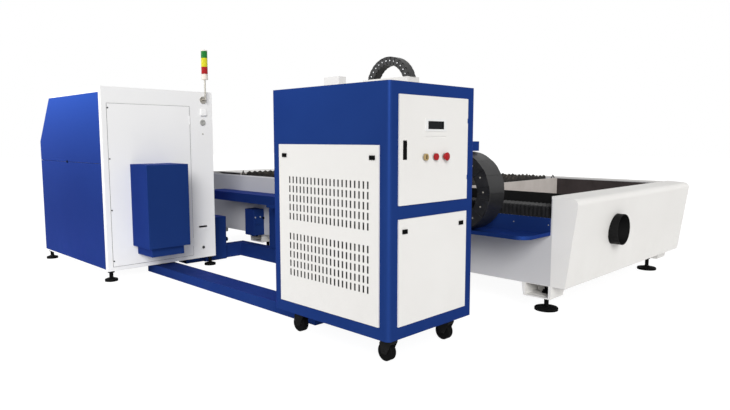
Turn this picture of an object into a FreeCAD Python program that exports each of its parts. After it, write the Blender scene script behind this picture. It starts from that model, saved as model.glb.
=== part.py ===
import FreeCAD
import Part
import math
import os

# Fibre laser cutting machine with one open cutting table, in millimetres.
# +X runs along the bed towards the exhaust stub, +Y from the two cabinets towards the bed, +Z up.
# The origin is on the floor, under the middle of everything that stands on it.

os.makedirs("parts", exist_ok=True)

# ---------------------------------------------------------------- bed
bedNear = -267.0            # outer face of the bed on the cabinets' side
bedWidth = 2300.0
seamRight = 2315.0          # where the end housing with the exhaust starts
seamLeft = -2330.0
bedBottom = 215.0
bedTop = 859.0
guardTop = 852.0
sheet = 3.0                 # folded covers
plate = 8.0                 # welded plates of the frame
ledgeWidth = 227.0
ledgeTop = 700.0            # machined seat of the rails
housingReach = 187.0        # end housing: reach at its fold
housingToe = 112.0          # end housing: reach at its foot
housingFold = 54.0          # drop from the top to the fold
housingSlope = 9.0
housingRound = 42.0
fieldLeft = -1855.0         # cutting field
fieldRight = 1275.0
panFloor = 330.0
liningSheet = 3.0           # dark plates on the two sides of the open compartment
liningNearTop = 860.0
liningFarTop = 845.0
crossTubeXs = (-1300.0, -300.0, 700.0)
crossTube = 80.0

footXs = (-2220.0, -1230.0, 505.0, 2209.5)
bracketLength = 239.0
bracketDrop = 95.0
bracketTaper = 14.0
bracketDepth = 200.0
footInset = 156.0           # bed side to the levelling screw
studRadius = 17.0
discRadius = 86.0
discHeight = 14.0

slatCount = 24
slatThickness = 4.0
slatHeight = 118.0
slatTip = 880.0
toothCount = 24
toothDepth = 18.0
slatSlotPlay = 0.4
combThickness = 10.0
combGap = 6.0               # comb to the ledge beside it
combTop = 838.0
eyeThickness = 8.0          # lifting eyes, bent from flat bar
eyeHeight = 46.0
eyeSpread = 56.0
eyeSlat = 3                 # the inner eye at each end stands just before this slat
eyeClear = 5.0              # eye to the slat beside it

railWidth = 30.0
railHeight = 28.0
railInset = 87.0            # bed side to the rail's middle
rackInset = 147.0
rackSize = 25.0
railEndGap = 14.0
runGap = 0.3                # between pieces that slide past each other

bellowsInset = 22.0
bellowsWidth = 185.0
bellowsTop = 787.0
bellowsPitch = 60.0
pleatDepth = 8.0
tunnelSide = 32.0

ductRadius = 117.5
ductWall = 3.0
ductY = 431.0
ductZ = 575.0
ductReach = 225.0           # end of the bed to the stub's mouth
ductFlange = 20.0

# ---------------------------------------------------------------- cable tray, drag chain and trunking
chainNear = -580.0
chainWidth = 200.0
chainOuter = 290.0          # outside radius of the bend
chainInner = 186.0
bendX = 1709.0
chainFixedX = 495.0
chainMovingX = 395.0
chainPitch = 110.0
linkGap = 0.3
linkCover = 5.0
linkSide = 12.0
bendLinks = 7               # links round half a turn
pinRadius = 7.0
pinProud = 2.5
pinPlace = 0.075            # share of a link between its pin and its lower end

trayLip = 603.0 - 267.0     # how far the tray stands out from the bed
trayFloor = 582.0
trayLipHeight = 26.0
trayBack = 122.0
trayRight = 2306.0
trayCorner = 95.0
trunkWidth = 223.0
trunkHeight = 95.0
riserX = -685.0
riserWidth = 110.0
trunkLeft = -1855.0
troughLeft = -1300.0        # floor trough from the console to the trunking
troughNear = -497.0
troughWidth = 100.0
troughTop = 140.0
troughLow = 85.0            # its height under the console
troughStart = -1148.0
crossTroughNear = -1575.0   # floor trough between the two cabinets
crossTroughWidth = 200.0
crossTroughTop = 80.0
crossTroughReach = 194.0    # how far it goes under the console
crossTroughEnd = 113.0      # and under the laser cabinet
collarLength = 80.0
collarInset = 20.0
collarPlace = 60.0          # end of the trough to the collar round its opening
standBoxLeft = -1350.0
standBoxWidth = 190.0
standBoxFar = -700.0
standBoxTop = 450.0
junctionX = -1246.0
junctionSize = (164.0, 133.0, 285.0)
junctionLid = 8.0           # lid's thickness
junctionEdge = 14.0         # lid from the box's near and far edges
junctionLidSpan = (0.42, 0.62)  # heights of the lid's ends as shares of the box's height

# ---------------------------------------------------------------- gantry, carriage and head
truckLeft = -190.0
truckLength = 585.0
truckTop = 800.0
truckClear = 17.0           # truck to the guard beside it
truckWidth = 195.0
columnThick = 109.0
columnFoot = 90.0           # upright part of the column above the truck
columnSlant = 300.0         # height at which the slant ends above the truck
beamFront = 120.0           # the face that carries the cutting head
beamDepth = 300.0
beamTop = 1740.0
beamHeight = 300.0
beamWall = 8.0
beamRail = 22.0
coverTop = beamTop + 110.0  # cover of the cross drive's motor
coverInset = (30.0, 60.0)   # motor cover from the beam's back and from its front
coverGap = (50.0, 55.0)     # motor cover from the truck's near side and from the column's far side
shelfDepth = 110.0          # shelf and wiring duct behind the beam
ductDrop = 10.0             # wiring duct below the beam's top
railEdge = 60.0             # cross rails from the beam's top and bottom
railEnd = 20.0              # cross rails from the columns
armTip = 1785.0
armRise = 5.0               # arm above the chain
armHeight = 70.0
armWidth = 160.0
armWall = 4.0
armFlange = 12.0            # plate that bolts the arm to the column
armFlangeDrop = 150.0
clampPlate = 16.0
carriageY = 420.0
carriageWidth = 170.0
carriagePlate = 25.0
carriageFront = 300.0
carriageTop = beamTop + 120.0
capInset = 30.0             # carriage cap from the beam's back
capLift = 10.0              # carriage cap above the beam
shoeInset = 15.0            # slide shoes from the carriage's sides
shoeLip = 14.0              # slide shoe above and below its rail
carriageBottom = 1330.0
headDepth = 150.0
headWidth = 130.0
headTop = beamTop - 10.0
headSlide = 34.0            # depth of the vertical slide's plate
slideFoot = 60.0            # slide plate above the shoulder
bodyFoot = 120.0            # head's housing above the shoulder
bodyTop = 40.0              # head's housing below the slide's top
bodyInset = 14.0            # head's housing from the slide's sides
barrelOffset = 12.0         # barrel's axis from the middle of the head's depth
barrelRadius = 42.0
barrelHeight = 130.0
coneHeight = 90.0
sensorRadius = 22.0
sensorFoot = 40.0           # sensor body above the nozzle's tip
headShoulder = 1240.0
nozzleTip = 985.0
archX = 175.0
archZ = beamTop + 40.0      # centre of the arch chain's bend
archSide = 60.0             # arch chain's near side from the carriage's middle
archReach = 500.0           # half size of the block that trims the arch at its foot
archTrim = 200.0            # half width of that block
archOuter = 292.0
archInner = 212.0
archWidth = 100.0
archLinkAngle = 16.4
capRight = 460.0            # end of the cap that the arch stands on

# ---------------------------------------------------------------- operator console
consoleFront = -2540.0
consoleRear = -962.0
consoleNear = -2033.0
consoleWidth = 1081.0
consoleBase = 92.0
consoleTop = 1709.0
slopeFoot = 1233.0          # where the upright front turns into the sloping desk
slopeRun = 356.0
capBand = 48.0
sidePanel = 12.0
panelSeam = 1041.0
seamGap = 3.0
panelFoot = 12.0
doorNear = 47.0             # cabinet side to the rear door
doorWidth = 786.0
doorFoot = 38.0
doorHeight = 1435.0
doorSheet = 4.0
doorOverlap = 18.0
hingeRadius = 4.0
hingePin = 2.0
knuckleLength = 26.0
hingeInset = 130.0          # door end to the middle of each hinge
coolerNear = 233.0
coolerWidth = 390.0
coolerDepth = 325.0
coolerBottom = 300.0
coolerTop = 1035.0
coolerStep = 80.0
coolerStepInset = 42.0
consoleFootInset = 42.0
consoleDisc = 55.0
screenWidth = 520.0
screenHeight = 330.0
bezel = 26.0
screenProud = 18.0
monitorPlace = (300.0, 600.5)
drawerWidth = 560.0
drawerDepth = 330.0
keyboardPlace = (60.0, 210.0)   # keyboard's front and back edge from the console's front
keyboardInset = 50.0        # keyboard from the drawer's sides
keyboardTop = 22.0          # keyboard's top above the drawer's floor
drawerLip = 8.0             # drawer front past its opening
shelfPast = 60.0            # drawer shelf behind the closed drawer
shelfSide = 20.0            # drawer shelf past the opening's sides
drawerHeight = 60.0
drawerTopGap = 40.0
stopRadius = 20.0
stopPlace = (300.0, 140.0)  # up the desk, and from its far side
slotZ = 400.0
slotWidth = 88.0
slotTall = 18.0
cableHoleZ = 193.0
cableHoleRadius = 15.0

towerInset = 98.0           # cabinet side to the pole
towerOut = 47.0
towerRadius = 30.0
towerPole = 8.0
towerFootRadius = 34.0
towerFootDrop = 77.0        # below the cabinet's top
towerRise = 114.0           # from the cabinet's top to the lamps' base
towerBaseHeight = 54.0
towerNeck = 7.0
redHeight = 66.0
yellowHeight = 83.0
greenHeight = 65.0
towerCap = 9.0

plateSetback = 320.0        # mounting plate behind the rear door
plateSheet = 6.0
driveCount = 4
driveSize = (165.0, 120.0, 300.0)
drivePitch = 200.0
driveRows = (260.0, 820.0)
ductRows = (180.0, 710.0, 1240.0)
wireDuct = (60.0, 40.0)

# ---------------------------------------------------------------- laser source and chiller cabinet
chillerLeft = 1177.0
chillerLength = 1012.0
chillerNear = -1825.0
chillerWidth = 777.0
chillerBase = 154.0
chillerTop = 1563.0
cornerRound = 26.0
coverSheet = 2.5            # lift-off covers and the door, folded as shallow pans
coverDepth = 10.0
coverOverlap = 22.0
ventPanelLeft = 81.0
ventPanelRight = 67.0
ventPanelFoot = 74.0
ventPanelHead = 338.0
doorSideNear = 71.0
doorSideFar = 87.0
lowerDoorFoot = 74.0
lowerDoorTop = 669.0
upperDoorFoot = 744.0
upperDoorTop = 1340.0
ventColumns = 21
ventRows = 5
ventWide = 12.0
ventTall = 41.0
ventPitchX = 33.9
ventPitchZ = 57.0
ventFirstX = 1358.0
ventLowZ = 404.0
ventHighZ = 758.0
latchWide = 40.0
latchTall = 24.0
latchProud = 6.0
latchTravel = 9.0
latchInset = 58.0
latchInsetCorner = 46.0     # of the latches beside the cabinet's front corner
latchDrop = 68.0
latchStem = 8.0             # half width of the stem
latchNeck = 6.0             # half height of the slot
latchTongue = 43.0          # reach of the tongue, past the edge of the opening
casterInset = 114.0         # near and right sides to the wheel's middle
casterInsetFar = 130.0      # and the far and left sides
casterWheel = 54.0
casterWheelWidth = 44.0
casterChamfer = 4.0
casterTrail = 26.0          # the wheels trail towards -X
casterPad = 6.0
casterSheet = 5.0
casterPlateRadius = 36.0
kingPin = 7.0
kingDrop = 16.0             # the king pin below its pad
axleRadius = 6.0
hubRadius = 16.0
fitGap = 0.05
displaySize = (142.0, 44.0)
displayBezel = 24.0
displayZ = 1334.0
displayY = -1445.0
grooveZ = 1269.0            # pressed line under the display
grooveLength = 190.0
grooveHeight = 7.0
buttonZ = 1157.0
keyY = -1543.0
pushY = -1452.0
mushroomY = -1366.0
keyRadius = 19.0
pushRadius = 20.0
mushroomRadius = 24.0
stemRadius = 11.0
stemClear = 0.5
handleY = -1709.0
handleTall = 104.0
handleWide = 34.0
handleZ = 1197.0
handlePinDrop = 8.0         # opening's top to the pin
handlePin = 2.5
handlePlay = 1.0
dishDepth = 26.0

laserInset = (160.0, 110.0, 90.0)   # cabinet walls to the laser source: left, both sides, right
laserTall = 320.0
laserGrip = (34.0, 12.0, 200.0)     # reach, bar and height of its handles
laserGripInset = 40.0
coolerMargin = 60.0
condenserDepth = 70.0
condenserTall = 560.0
tankSize = (390.0, 350.0, 420.0)
compressorRadius = 95.0
compressorTall = 330.0

bedFar = bedNear + bedWidth
bedMid = (bedNear + bedFar) / 2
fieldNear = bedNear + ledgeWidth
fieldFar = bedFar - ledgeWidth
chainBottom = trayFloor + sheet + runGap
bendZ = chainBottom + chainOuter
chainFar = chainNear + chainWidth
chainTop = bendZ + chainOuter
trayNear = bedNear - trayLip
consoleFar = consoleNear + consoleWidth
consoleSlopeTop = consoleFront + slopeRun
chillerRight = chillerLeft + chillerLength
chillerFar = chillerNear + chillerWidth
truckRight = truckLeft + truckLength
beamBack = beamFront - beamDepth
truckNear = bedNear + truckClear
columnFar = truckNear + truckWidth
columnNear = columnFar - columnThick
trunkNear = bedNear - trunkWidth
crossTroughFar = crossTroughNear + crossTroughWidth
hingeOff = hingeRadius + 2 * runGap
towerX = consoleRear + towerOut
towerY = consoleFar - towerInset
towerFoot = consoleTop - towerFootDrop
towerBase = consoleTop + towerRise
lensRed = towerBase + towerBaseHeight
lensYellow = lensRed + redHeight
lensGreen = lensYellow + yellowHeight
lensEnd = lensGreen + greenHeight
pitchX = (fieldRight - fieldLeft) / (slatCount + 1)
shelfZ = chillerBase + (lowerDoorTop + upperDoorFoot) / 2


def vec(x, y, z):
    return FreeCAD.Vector(x, y, z)


def block(x1, x2, y1, y2, z1, z2):
    return Part.makeBox(x2 - x1, y2 - y1, z2 - z1, vec(x1, y1, z1))


def rod(x, y, z, axis, radius, length):
    return Part.makeCylinder(radius, length, vec(x, y, z), axis)


def prismY(points, y1, y2):
    """A closed outline in the X-Z plane, carried along Y."""
    wire = Part.makePolygon([vec(x, y1, z) for x, z in points + points[:1]])
    return Part.Face(wire).extrude(vec(0, y2 - y1, 0))


def prismX(points, x1, x2):
    """A closed outline in the Y-Z plane, carried along X."""
    wire = Part.makePolygon([vec(x1, y, z) for y, z in points + points[:1]])
    return Part.Face(wire).extrude(vec(x2 - x1, 0, 0))


def fuse(shapes):
    whole = shapes[0]
    if len(shapes) > 1:
        whole = shapes[0].multiFuse(shapes[1:])
    return whole.removeSplitter()


def farSide(shape):
    """The same piece on the other side of the bed."""
    return shape.mirror(vec(0, bedMid, 0), vec(0, 1, 0))


def save(name, shapes):
    shape = shapes[0] if len(shapes) == 1 else Part.makeCompound(shapes)
    shape.exportStep(f"parts/{name}.step")


def tubeBox(x1, x2, y1, y2, z1, z2, wall, along):
    """A rectangular tube, open along one axis."""
    inset = [0 if along == axis else wall for axis in "XYZ"]
    inner = block(x1 + inset[0], x2 - inset[0], y1 + inset[1], y2 - inset[1], z1 + inset[2], z2 - inset[2])
    return block(x1, x2, y1, y2, z1, z2).cut(inner)


# ---------------------------------------------------------------- bed
def footBracket(x):
    """A tapered box under the side member, open towards the outside, for one levelling screw."""
    low = bedBottom - bracketDrop
    half = bracketLength / 2
    outline = [(x - half, bedBottom), (x - half + bracketTaper, low),
               (x + half - bracketTaper, low), (x + half, bedBottom)]
    back = bedNear + bracketDepth
    body = prismY(outline, bedNear, back)
    room = block(x - half + 2 * bracketTaper, x + half - 2 * bracketTaper, bedNear - 1, back - plate,
                 low + plate, bedBottom)
    hole = rod(x, bedNear + footInset, low - 1, vec(0, 0, 1), studRadius + runGap, plate + 2)
    return body.cut(room).cut(hole)


def sideMember():
    beam = tubeBox(seamLeft, seamRight, bedNear, fieldNear, bedBottom, ledgeTop, plate, "X")
    return fuse([beam] + [footBracket(x) for x in footXs])


def bedFrame():
    near = sideMember()
    pieces = [near, farSide(near)]
    pieces.append(block(seamLeft, fieldRight, bedNear, bedNear + sheet, ledgeTop, guardTop))
    pieces.append(block(seamLeft, seamRight, bedFar - sheet, bedFar, ledgeTop, guardTop))
    pieces.append(block(seamRight - plate, seamRight, bedNear, bedFar, bedBottom, bedTop))
    pieces.append(block(seamLeft, seamLeft + plate, bedNear, bedFar, bedBottom, bedTop))
    pieces.append(block(seamLeft, fieldLeft, fieldNear, fieldFar, bedTop - plate, bedTop))
    pieces.append(block(fieldLeft - plate, fieldLeft, fieldNear, fieldFar, panFloor, bedTop))
    pieces.append(block(fieldRight, fieldRight + plate, fieldNear, fieldFar, panFloor, guardTop))
    pieces.append(block(fieldLeft - plate, seamRight, fieldNear, fieldFar, panFloor - sheet, panFloor))
    for x in crossTubeXs:
        pieces.append(block(x, x + crossTube, fieldNear, fieldFar, ledgeTop - crossTube, ledgeTop))
    frame = fuse(pieces)
    mouth = rod(seamRight - 2 * plate, ductY, ductZ, vec(1, 0, 0), ductRadius - ductWall, 3 * plate)
    return frame.cut(mouth)


def compartmentLining():
    """Plates on the inner sides of the compartment between the cutting field and the exhaust."""
    x1 = fieldRight + plate
    x2 = seamRight - plate
    near = block(x1, x2, fieldNear, fieldNear + liningSheet, panFloor, liningNearTop)
    far = block(x1, x2, fieldFar - liningSheet, fieldFar, panFloor, liningFarTop)
    return [near, far]


def housingOutline(seam, side, inset):
    """Outline of an end housing from its seam outwards: a flat top, a rounded edge and a leaning face."""
    reach = housingReach - inset
    toe = housingToe - inset
    top = bedTop - inset
    fold = bedTop - housingFold
    crown = seam + side * (reach - housingRound)
    start = vec(crown, 0, top - housingSlope)
    end = vec(seam + side * reach, 0, fold)
    middle = vec(seam + side * (reach - 0.3 * housingRound), 0,
                 top - housingSlope - 0.3 * (top - housingSlope - fold))
    foot = vec(seam + side * toe, 0, bedBottom + inset)
    root = vec(seam, 0, bedBottom + inset)
    head = vec(seam, 0, top)
    edges = [Part.LineSegment(head, start), Part.Arc(start, middle, end), Part.LineSegment(end, foot)]
    edges += [Part.LineSegment(foot, root), Part.LineSegment(root, head)]
    return Part.Wire([edge.toShape() for edge in edges])


def endHousing(seam, side):
    outer = Part.Face(housingOutline(seam, side, 0.0)).extrude(vec(0, bedWidth, 0))
    inner = Part.Face(housingOutline(seam, side, sheet)).extrude(vec(0, bedWidth - 2 * sheet, 0))
    outer.translate(vec(0, bedNear, 0))
    inner.translate(vec(0, bedNear + sheet, 0))
    return outer.cut(inner)


def exhaustDuct():
    tube = rod(seamRight, ductY, ductZ, vec(1, 0, 0), ductRadius, ductReach)
    collar = rod(seamRight, ductY, ductZ, vec(1, 0, 0), ductRadius + ductFlange, ductWall)
    bore = rod(seamRight - 1, ductY, ductZ, vec(1, 0, 0), ductRadius - ductWall, ductReach + 2)
    return tube.fuse(collar).cut(bore).removeSplitter()


def levellingFoot(x, y, top, radius, nutHeight):
    """A screw with its disc on the floor and a lock nut under the plate it goes through."""
    disc = Part.makeCone(radius, radius * 0.72, discHeight, vec(x, y, 0), vec(0, 0, 1))
    stud = rod(x, y, discHeight, vec(0, 0, 1), studRadius, top - discHeight)
    nut = hexagon(x, y, nutHeight - studRadius, studRadius * 1.7, studRadius)
    return fuse([disc, stud, nut])


def hexagon(x, y, z, radius, height):
    turns = [math.pi * k / 3 for k in range(7)]
    corners = [vec(x + radius * math.cos(t), y + radius * math.sin(t), z) for t in turns]
    return Part.Face(Part.makePolygon(corners)).extrude(vec(0, 0, height))


def levellingFeet():
    low = bedBottom - bracketDrop
    feet = []
    for x in footXs:
        near = levellingFoot(x, bedNear + footInset, low + 62, discRadius, low)
        feet += [near, farSide(near)]
    for x in (consoleFront + consoleFootInset, consoleRear - consoleFootInset):
        for y in (consoleNear + consoleFootInset, consoleFar - consoleFootInset):
            feet.append(levellingFoot(x, y, consoleBase, consoleDisc, consoleBase))
    return feet


def slatXs():
    return [fieldLeft + pitchX * (k + 1) for k in range(slatCount)]


def slat(x):
    """One serrated blade: pointed teeth along its upper edge."""
    y1 = fieldNear + combGap
    y2 = fieldFar - combGap
    pitch = (y2 - y1) / toothCount
    low = slatTip - slatHeight
    points = [(y1, low), (y1, slatTip - toothDepth)]
    for k in range(toothCount):
        points.append((y1 + pitch * (k + 0.5), slatTip))
        points.append((y1 + pitch * (k + 1), slatTip - toothDepth))
    points.append((y2, low))
    return prismX(points, x - slatThickness / 2, x + slatThickness / 2)


def liftingEye(x, y):
    """A flat bar bent to an upturned V on the comb, to crane the slat frame out."""
    half = eyeSpread / 2
    top = combTop + eyeHeight
    low = combTop - 1
    points = [(x - half, low), (x, top), (x + half, low), (x + half - eyeThickness, low)]
    points += [(x, top - 1.6 * eyeThickness), (x - half + eyeThickness, low)]
    return prismY(points, y - eyeThickness / 2, y + eyeThickness / 2)


def slatCarrier():
    """Two combs with a slot for each blade, joined by end bars, standing on the cross tubes."""
    y1 = fieldNear + 2 * combGap
    y2 = fieldFar - 2 * combGap
    x1 = fieldLeft + combGap
    x2 = fieldRight - combGap
    pieces = [
        block(x1, x2, y1, y1 + combThickness, ledgeTop, combTop),
        block(x1, x2, y2 - combThickness, y2, ledgeTop, combTop),
        block(x1, x1 + combThickness, y1, y2, ledgeTop, combTop),
        block(x2 - combThickness, x2, y1, y2, ledgeTop, combTop),
    ]
    outer = combGap + eyeSpread / 2
    inner = eyeSlat * pitchX - slatThickness / 2 - eyeClear - eyeSpread / 2
    for x in (fieldLeft + outer, fieldLeft + inner, fieldRight - inner, fieldRight - outer):
        for y in (y1 + combThickness / 2, y2 - combThickness / 2):
            pieces.append(liftingEye(x, y))
    carrier = fuse(pieces)
    half = slatThickness / 2 + slatSlotPlay
    low = slatTip - slatHeight - slatSlotPlay
    slots = [block(x - half, x + half, y1 - 1, y2 + 1, low, combTop + 1) for x in slatXs()]
    return carrier.cut(Part.makeCompound(slots))


def linearGuides():
    x1 = seamLeft + plate + railEndGap
    x2 = seamRight - plate - railEndGap
    y = bedNear + railInset
    rail = block(x1, x2, y - railWidth / 2, y + railWidth / 2, ledgeTop, ledgeTop + railHeight)
    y = bedNear + rackInset
    rack = block(x1, x2, y - rackSize / 2, y + rackSize / 2, ledgeTop, ledgeTop + rackSize)
    return [rail, rack, farSide(rail), farSide(rack)]


def bellows(x1, x2):
    """A pleated tunnel over one rail: deep and shallow folds in turn."""
    y1 = bedNear + bellowsInset
    y2 = y1 + bellowsWidth
    low = ledgeTop + runGap
    folds = round((x2 - x1) / bellowsPitch)
    pitch = (x2 - x1) / folds
    pieces = [block(x1, x2, y1 + pleatDepth, y2 - pleatDepth, low, bellowsTop - pleatDepth)]
    for k in range(folds):
        x = x1 + pitch * (k + 0.25)
        pieces.append(block(x, x + pitch / 2, y1, y2, low, bellowsTop))
    body = fuse(pieces)
    tunnel = block(x1 - 1, x2 + 1, y1 + tunnelSide, y2 - tunnelSide,
                   low - 1, ledgeTop + railHeight + tunnelSide / 2)
    return body.cut(tunnel)


def bellowsPair(x1, x2):
    near = bellows(x1, x2)
    return [near, farSide(near)]


# ---------------------------------------------------------------- tray, trunking and drag chain
def cableTray():
    """An open tray on the bed's side: back flange, floor and lip, with a rounded outer corner."""
    left = riserX + riserWidth
    outer = block(left, trayRight, trayNear, bedNear, trayFloor, trayFloor + trayBack)
    room = block(left - 1, trayRight + 1, trayNear + sheet, bedNear - sheet,
                 trayFloor + sheet, trayFloor + trayBack + 1)
    front = block(left - 1, trayRight + 1, trayNear - 1, bedNear - sheet,
                  trayFloor + trayLipHeight, trayFloor + trayBack + 1)
    tray = outer.cut(room).cut(front)
    corner = block(trayRight - trayCorner, trayRight + 1, trayNear - 1, trayNear + trayCorner,
                   trayFloor - 1, bedTop)
    keep = rod(trayRight - trayCorner, trayNear + trayCorner, trayFloor - 1, vec(0, 0, 1), trayCorner, bedTop)
    rim = keep.cut(rod(trayRight - trayCorner, trayNear + trayCorner, trayFloor - 2, vec(0, 0, 1),
                       trayCorner - sheet, bedTop))
    rim = rim.common(block(trayRight - trayCorner, trayRight, trayNear, trayNear + trayCorner,
                           trayFloor, trayFloor + trayLipHeight))
    end = block(trayRight - sheet, trayRight, trayNear + trayCorner, bedNear - sheet,
                trayFloor, trayFloor + trayLipHeight)
    return fuse([tray.cut(corner.cut(keep)), rim, end])


def sideTrunk():
    """Closed trunking on the bed's side that turns down to the floor trough."""
    low = trayFloor
    right = riserX + riserWidth
    level = block(trunkLeft, right, trunkNear, bedNear, low, low + trunkHeight)
    drop = block(riserX, right, trunkNear, bedNear, troughTop, low + 1)
    inside = block(trunkLeft + sheet, right - sheet, trunkNear + sheet, bedNear - sheet,
                   low + sheet, low + trunkHeight - sheet)
    shaft = block(riserX + sheet, right - sheet, trunkNear + sheet, bedNear - sheet,
                  troughTop - 1, low + sheet + 1)
    return fuse([level, drop]).cut(inside).cut(shaft)


def trayAndTrunk():
    return [cableTray(), sideTrunk()]


def consoleTrough():
    """Floor trough from under the console to under the laser cabinet, with a collar up to each of them."""
    x1 = consoleRear - crossTroughReach
    x2 = chillerLeft + crossTroughEnd
    body = block(x1, x2, crossTroughNear, crossTroughFar, 0, crossTroughTop)
    room = block(x1 + sheet, x2 - sheet, crossTroughNear + sheet, crossTroughFar - sheet,
                 sheet, crossTroughTop - sheet)
    y1 = crossTroughNear + collarInset
    y2 = crossTroughFar - collarInset
    left = tubeBox(x1 + collarPlace, x1 + collarPlace + collarLength, y1, y2,
                   crossTroughTop - sheet, consoleBase, sheet, "Z")
    right = tubeBox(x2 - 5 - collarLength, x2 - 5, y1, y2, crossTroughTop - sheet, chillerBase, sheet, "Z")
    ways = [
        block(x1 + collarPlace + sheet, x1 + collarPlace + collarLength - sheet, y1 + sheet, y2 - sheet,
              2 * sheet, consoleBase),
        block(x2 - 5 - collarLength + sheet, x2 - 5 - sheet, y1 + sheet, y2 - sheet, 2 * sheet, chillerBase),
    ]
    return fuse([body.cut(room), left, right]).cut(ways[0]).cut(ways[1])


def bedTrough():
    """Floor trough from under the console, round a corner to the trunking's drop, with a stand-up box."""
    x1 = troughLeft
    x2 = x1 + troughWidth
    y1 = troughNear
    y2 = y1 + troughWidth
    right = riserX + riserWidth
    outer = fuse([
        block(x1, right, y1, y2, 0, troughTop),
        block(x1, x2, consoleFar, y2, 0, troughTop),
        block(standBoxLeft, x2, troughStart, consoleFar + 1, 0, troughLow),
        block(standBoxLeft, standBoxLeft + standBoxWidth, consoleFar, standBoxFar, 0, standBoxTop),
    ])
    room = fuse([
        block(x1 + sheet, right - sheet, y1 + sheet, y2 - sheet, sheet, troughTop - sheet),
        block(x1 + sheet, x2 - sheet, consoleFar + sheet, y2 - sheet, sheet, troughTop - sheet),
        block(standBoxLeft + sheet, x2 - sheet, troughStart - 1, consoleFar + 2 * sheet,
              sheet, troughLow - sheet),
        block(standBoxLeft + sheet, standBoxLeft + standBoxWidth - sheet,
              consoleFar + sheet, standBoxFar - sheet, sheet, standBoxTop - sheet),
    ])
    mouth = block(riserX + sheet, right - sheet, trunkNear + sheet, y2 - sheet,
                  troughTop - 2 * sheet, troughTop + 1)
    return outer.cut(room).cut(mouth)


def junctionBox():
    dx, dy, dz = junctionSize
    body = block(junctionX, junctionX + dx, bedNear - dy, bedNear, bedBottom, bedBottom + dz)
    low, high = junctionLidSpan
    y1, y2 = bedNear - dy + junctionEdge, bedNear - junctionEdge
    lid = block(junctionX + dx, junctionX + dx + junctionLid, y1, y2,
                bedBottom + dz * low, bedBottom + dz * high)
    return fuse([body, lid])


def chainSection(inner, outer, y1, width):
    """Cross-section of a link at the given radii: two side bands and two covers round the cable space."""
    def frame(r1, r2, ya, yb):
        corners = [(r1, ya), (r2, ya), (r2, yb), (r1, yb), (r1, ya)]
        return Part.Face(Part.makePolygon([vec(x, y, 0) for x, y in corners]))
    whole = frame(inner, outer, y1, y1 + width)
    room = frame(inner + linkCover, outer - linkCover, y1 + linkSide, y1 + width - linkSide)
    return whole.cut(room)


def bendLink(section, x, z, start, stop):
    """A link that follows the bend, from one pin's angle to the next (degrees above +X)."""
    link = section.revolve(vec(0, 0, 0), vec(0, 1, 0), -(stop - start))
    link.rotate(vec(0, 0, 0), vec(0, 1, 0), -start)
    link.translate(vec(x, 0, z))
    return link


def pinHead(x, y, z):
    return rod(x, y - pinProud, z, vec(0, 1, 0), pinRadius, pinProud + 1)


def bendHalf(side):
    """Half of the main chain's bend: side 1 is the upper quarter turn, -1 the lower one."""
    section = chainSection(chainInner, chainOuter, chainNear, chainWidth)
    step = 180.0 / bendLinks
    gap = math.degrees(linkGap / chainOuter)
    radius = (chainInner + chainOuter) / 2
    links = []
    angle = 0.0
    while angle < 90 - gap:
        stop = min(angle + step, 90.0)
        ends = sorted((side * (angle + gap / 2), side * (stop - gap / 2)))
        link = bendLink(section, bendX, bendZ, ends[0], ends[1])
        pin = math.radians(side * (angle + pinPlace * step if side > 0 else stop - pinPlace * step))
        head = pinHead(bendX + radius * math.cos(pin), chainNear, bendZ + radius * math.sin(pin))
        links.append(link.fuse(head))
        angle += step
    return links


def straightRun(x1, x2, z1, z2):
    count = round((x2 - x1) / chainPitch)
    pitch = (x2 - x1) / count
    links = []
    for k in range(count):
        a = x1 + pitch * k + linkGap / 2
        b = x1 + pitch * (k + 1) - linkGap / 2
        side = block(a, b, chainNear, chainFar, z1, z2)
        room = block(a - 1, b + 1, chainNear + linkSide, chainFar - linkSide, z1 + linkCover, z2 - linkCover)
        links.append(side.cut(room))
    return links


# ---------------------------------------------------------------- gantry, carriage and head
def gantryColumn():
    """Truck on the rail with the column that carries the beam's end."""
    slideTop = ledgeTop + railHeight + runGap
    truck = block(truckLeft, truckRight, truckNear, truckNear + truckWidth, ledgeTop + runGap, truckTop)
    grooves = []
    for inset, width in ((railInset, railWidth + 2 * runGap), (rackInset, rackSize + 12)):
        y = bedNear + inset
        grooves.append(block(truckLeft - 1, truckRight + 1, y - width / 2, y + width / 2,
                             ledgeTop - 1, slideTop))
    outline = [
        (truckLeft, truckTop - 1), (truckRight, truckTop - 1), (truckRight, truckTop + columnFoot),
        (beamFront, truckTop + columnSlant), (beamFront, beamTop), (beamBack, beamTop), (beamBack,
            truckTop + columnSlant),
        (truckLeft, truckTop + columnFoot),
    ]
    column = prismY(outline, columnNear, columnFar)
    inner = [
        (truckLeft + plate, truckTop + plate), (truckRight - plate, truckTop + plate),
        (truckRight - plate, truckTop + columnFoot - plate), (beamFront - plate,
                                                              truckTop + columnSlant - plate),
        (beamFront - plate, beamTop - plate), (beamBack + plate, beamTop - plate),
        (beamBack + plate, truckTop + columnFoot), (truckLeft + plate, truckTop + columnFoot),
    ]
    hollow = prismY(inner, columnNear + plate, columnFar - plate)
    return fuse([truck, column]).cut(hollow).cut(Part.makeCompound(grooves))


def gantryColumns():
    """Both columns; the near one carries the cover of the cross drive's motor."""
    near = gantryColumn()
    x1, x2 = beamBack + coverInset[0], beamFront - coverInset[1]
    cover = block(x1, x2, truckNear + coverGap[0], columnFar - coverGap[1], beamTop - 1, coverTop)
    return [fuse([near, cover]), farSide(near)]


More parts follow.
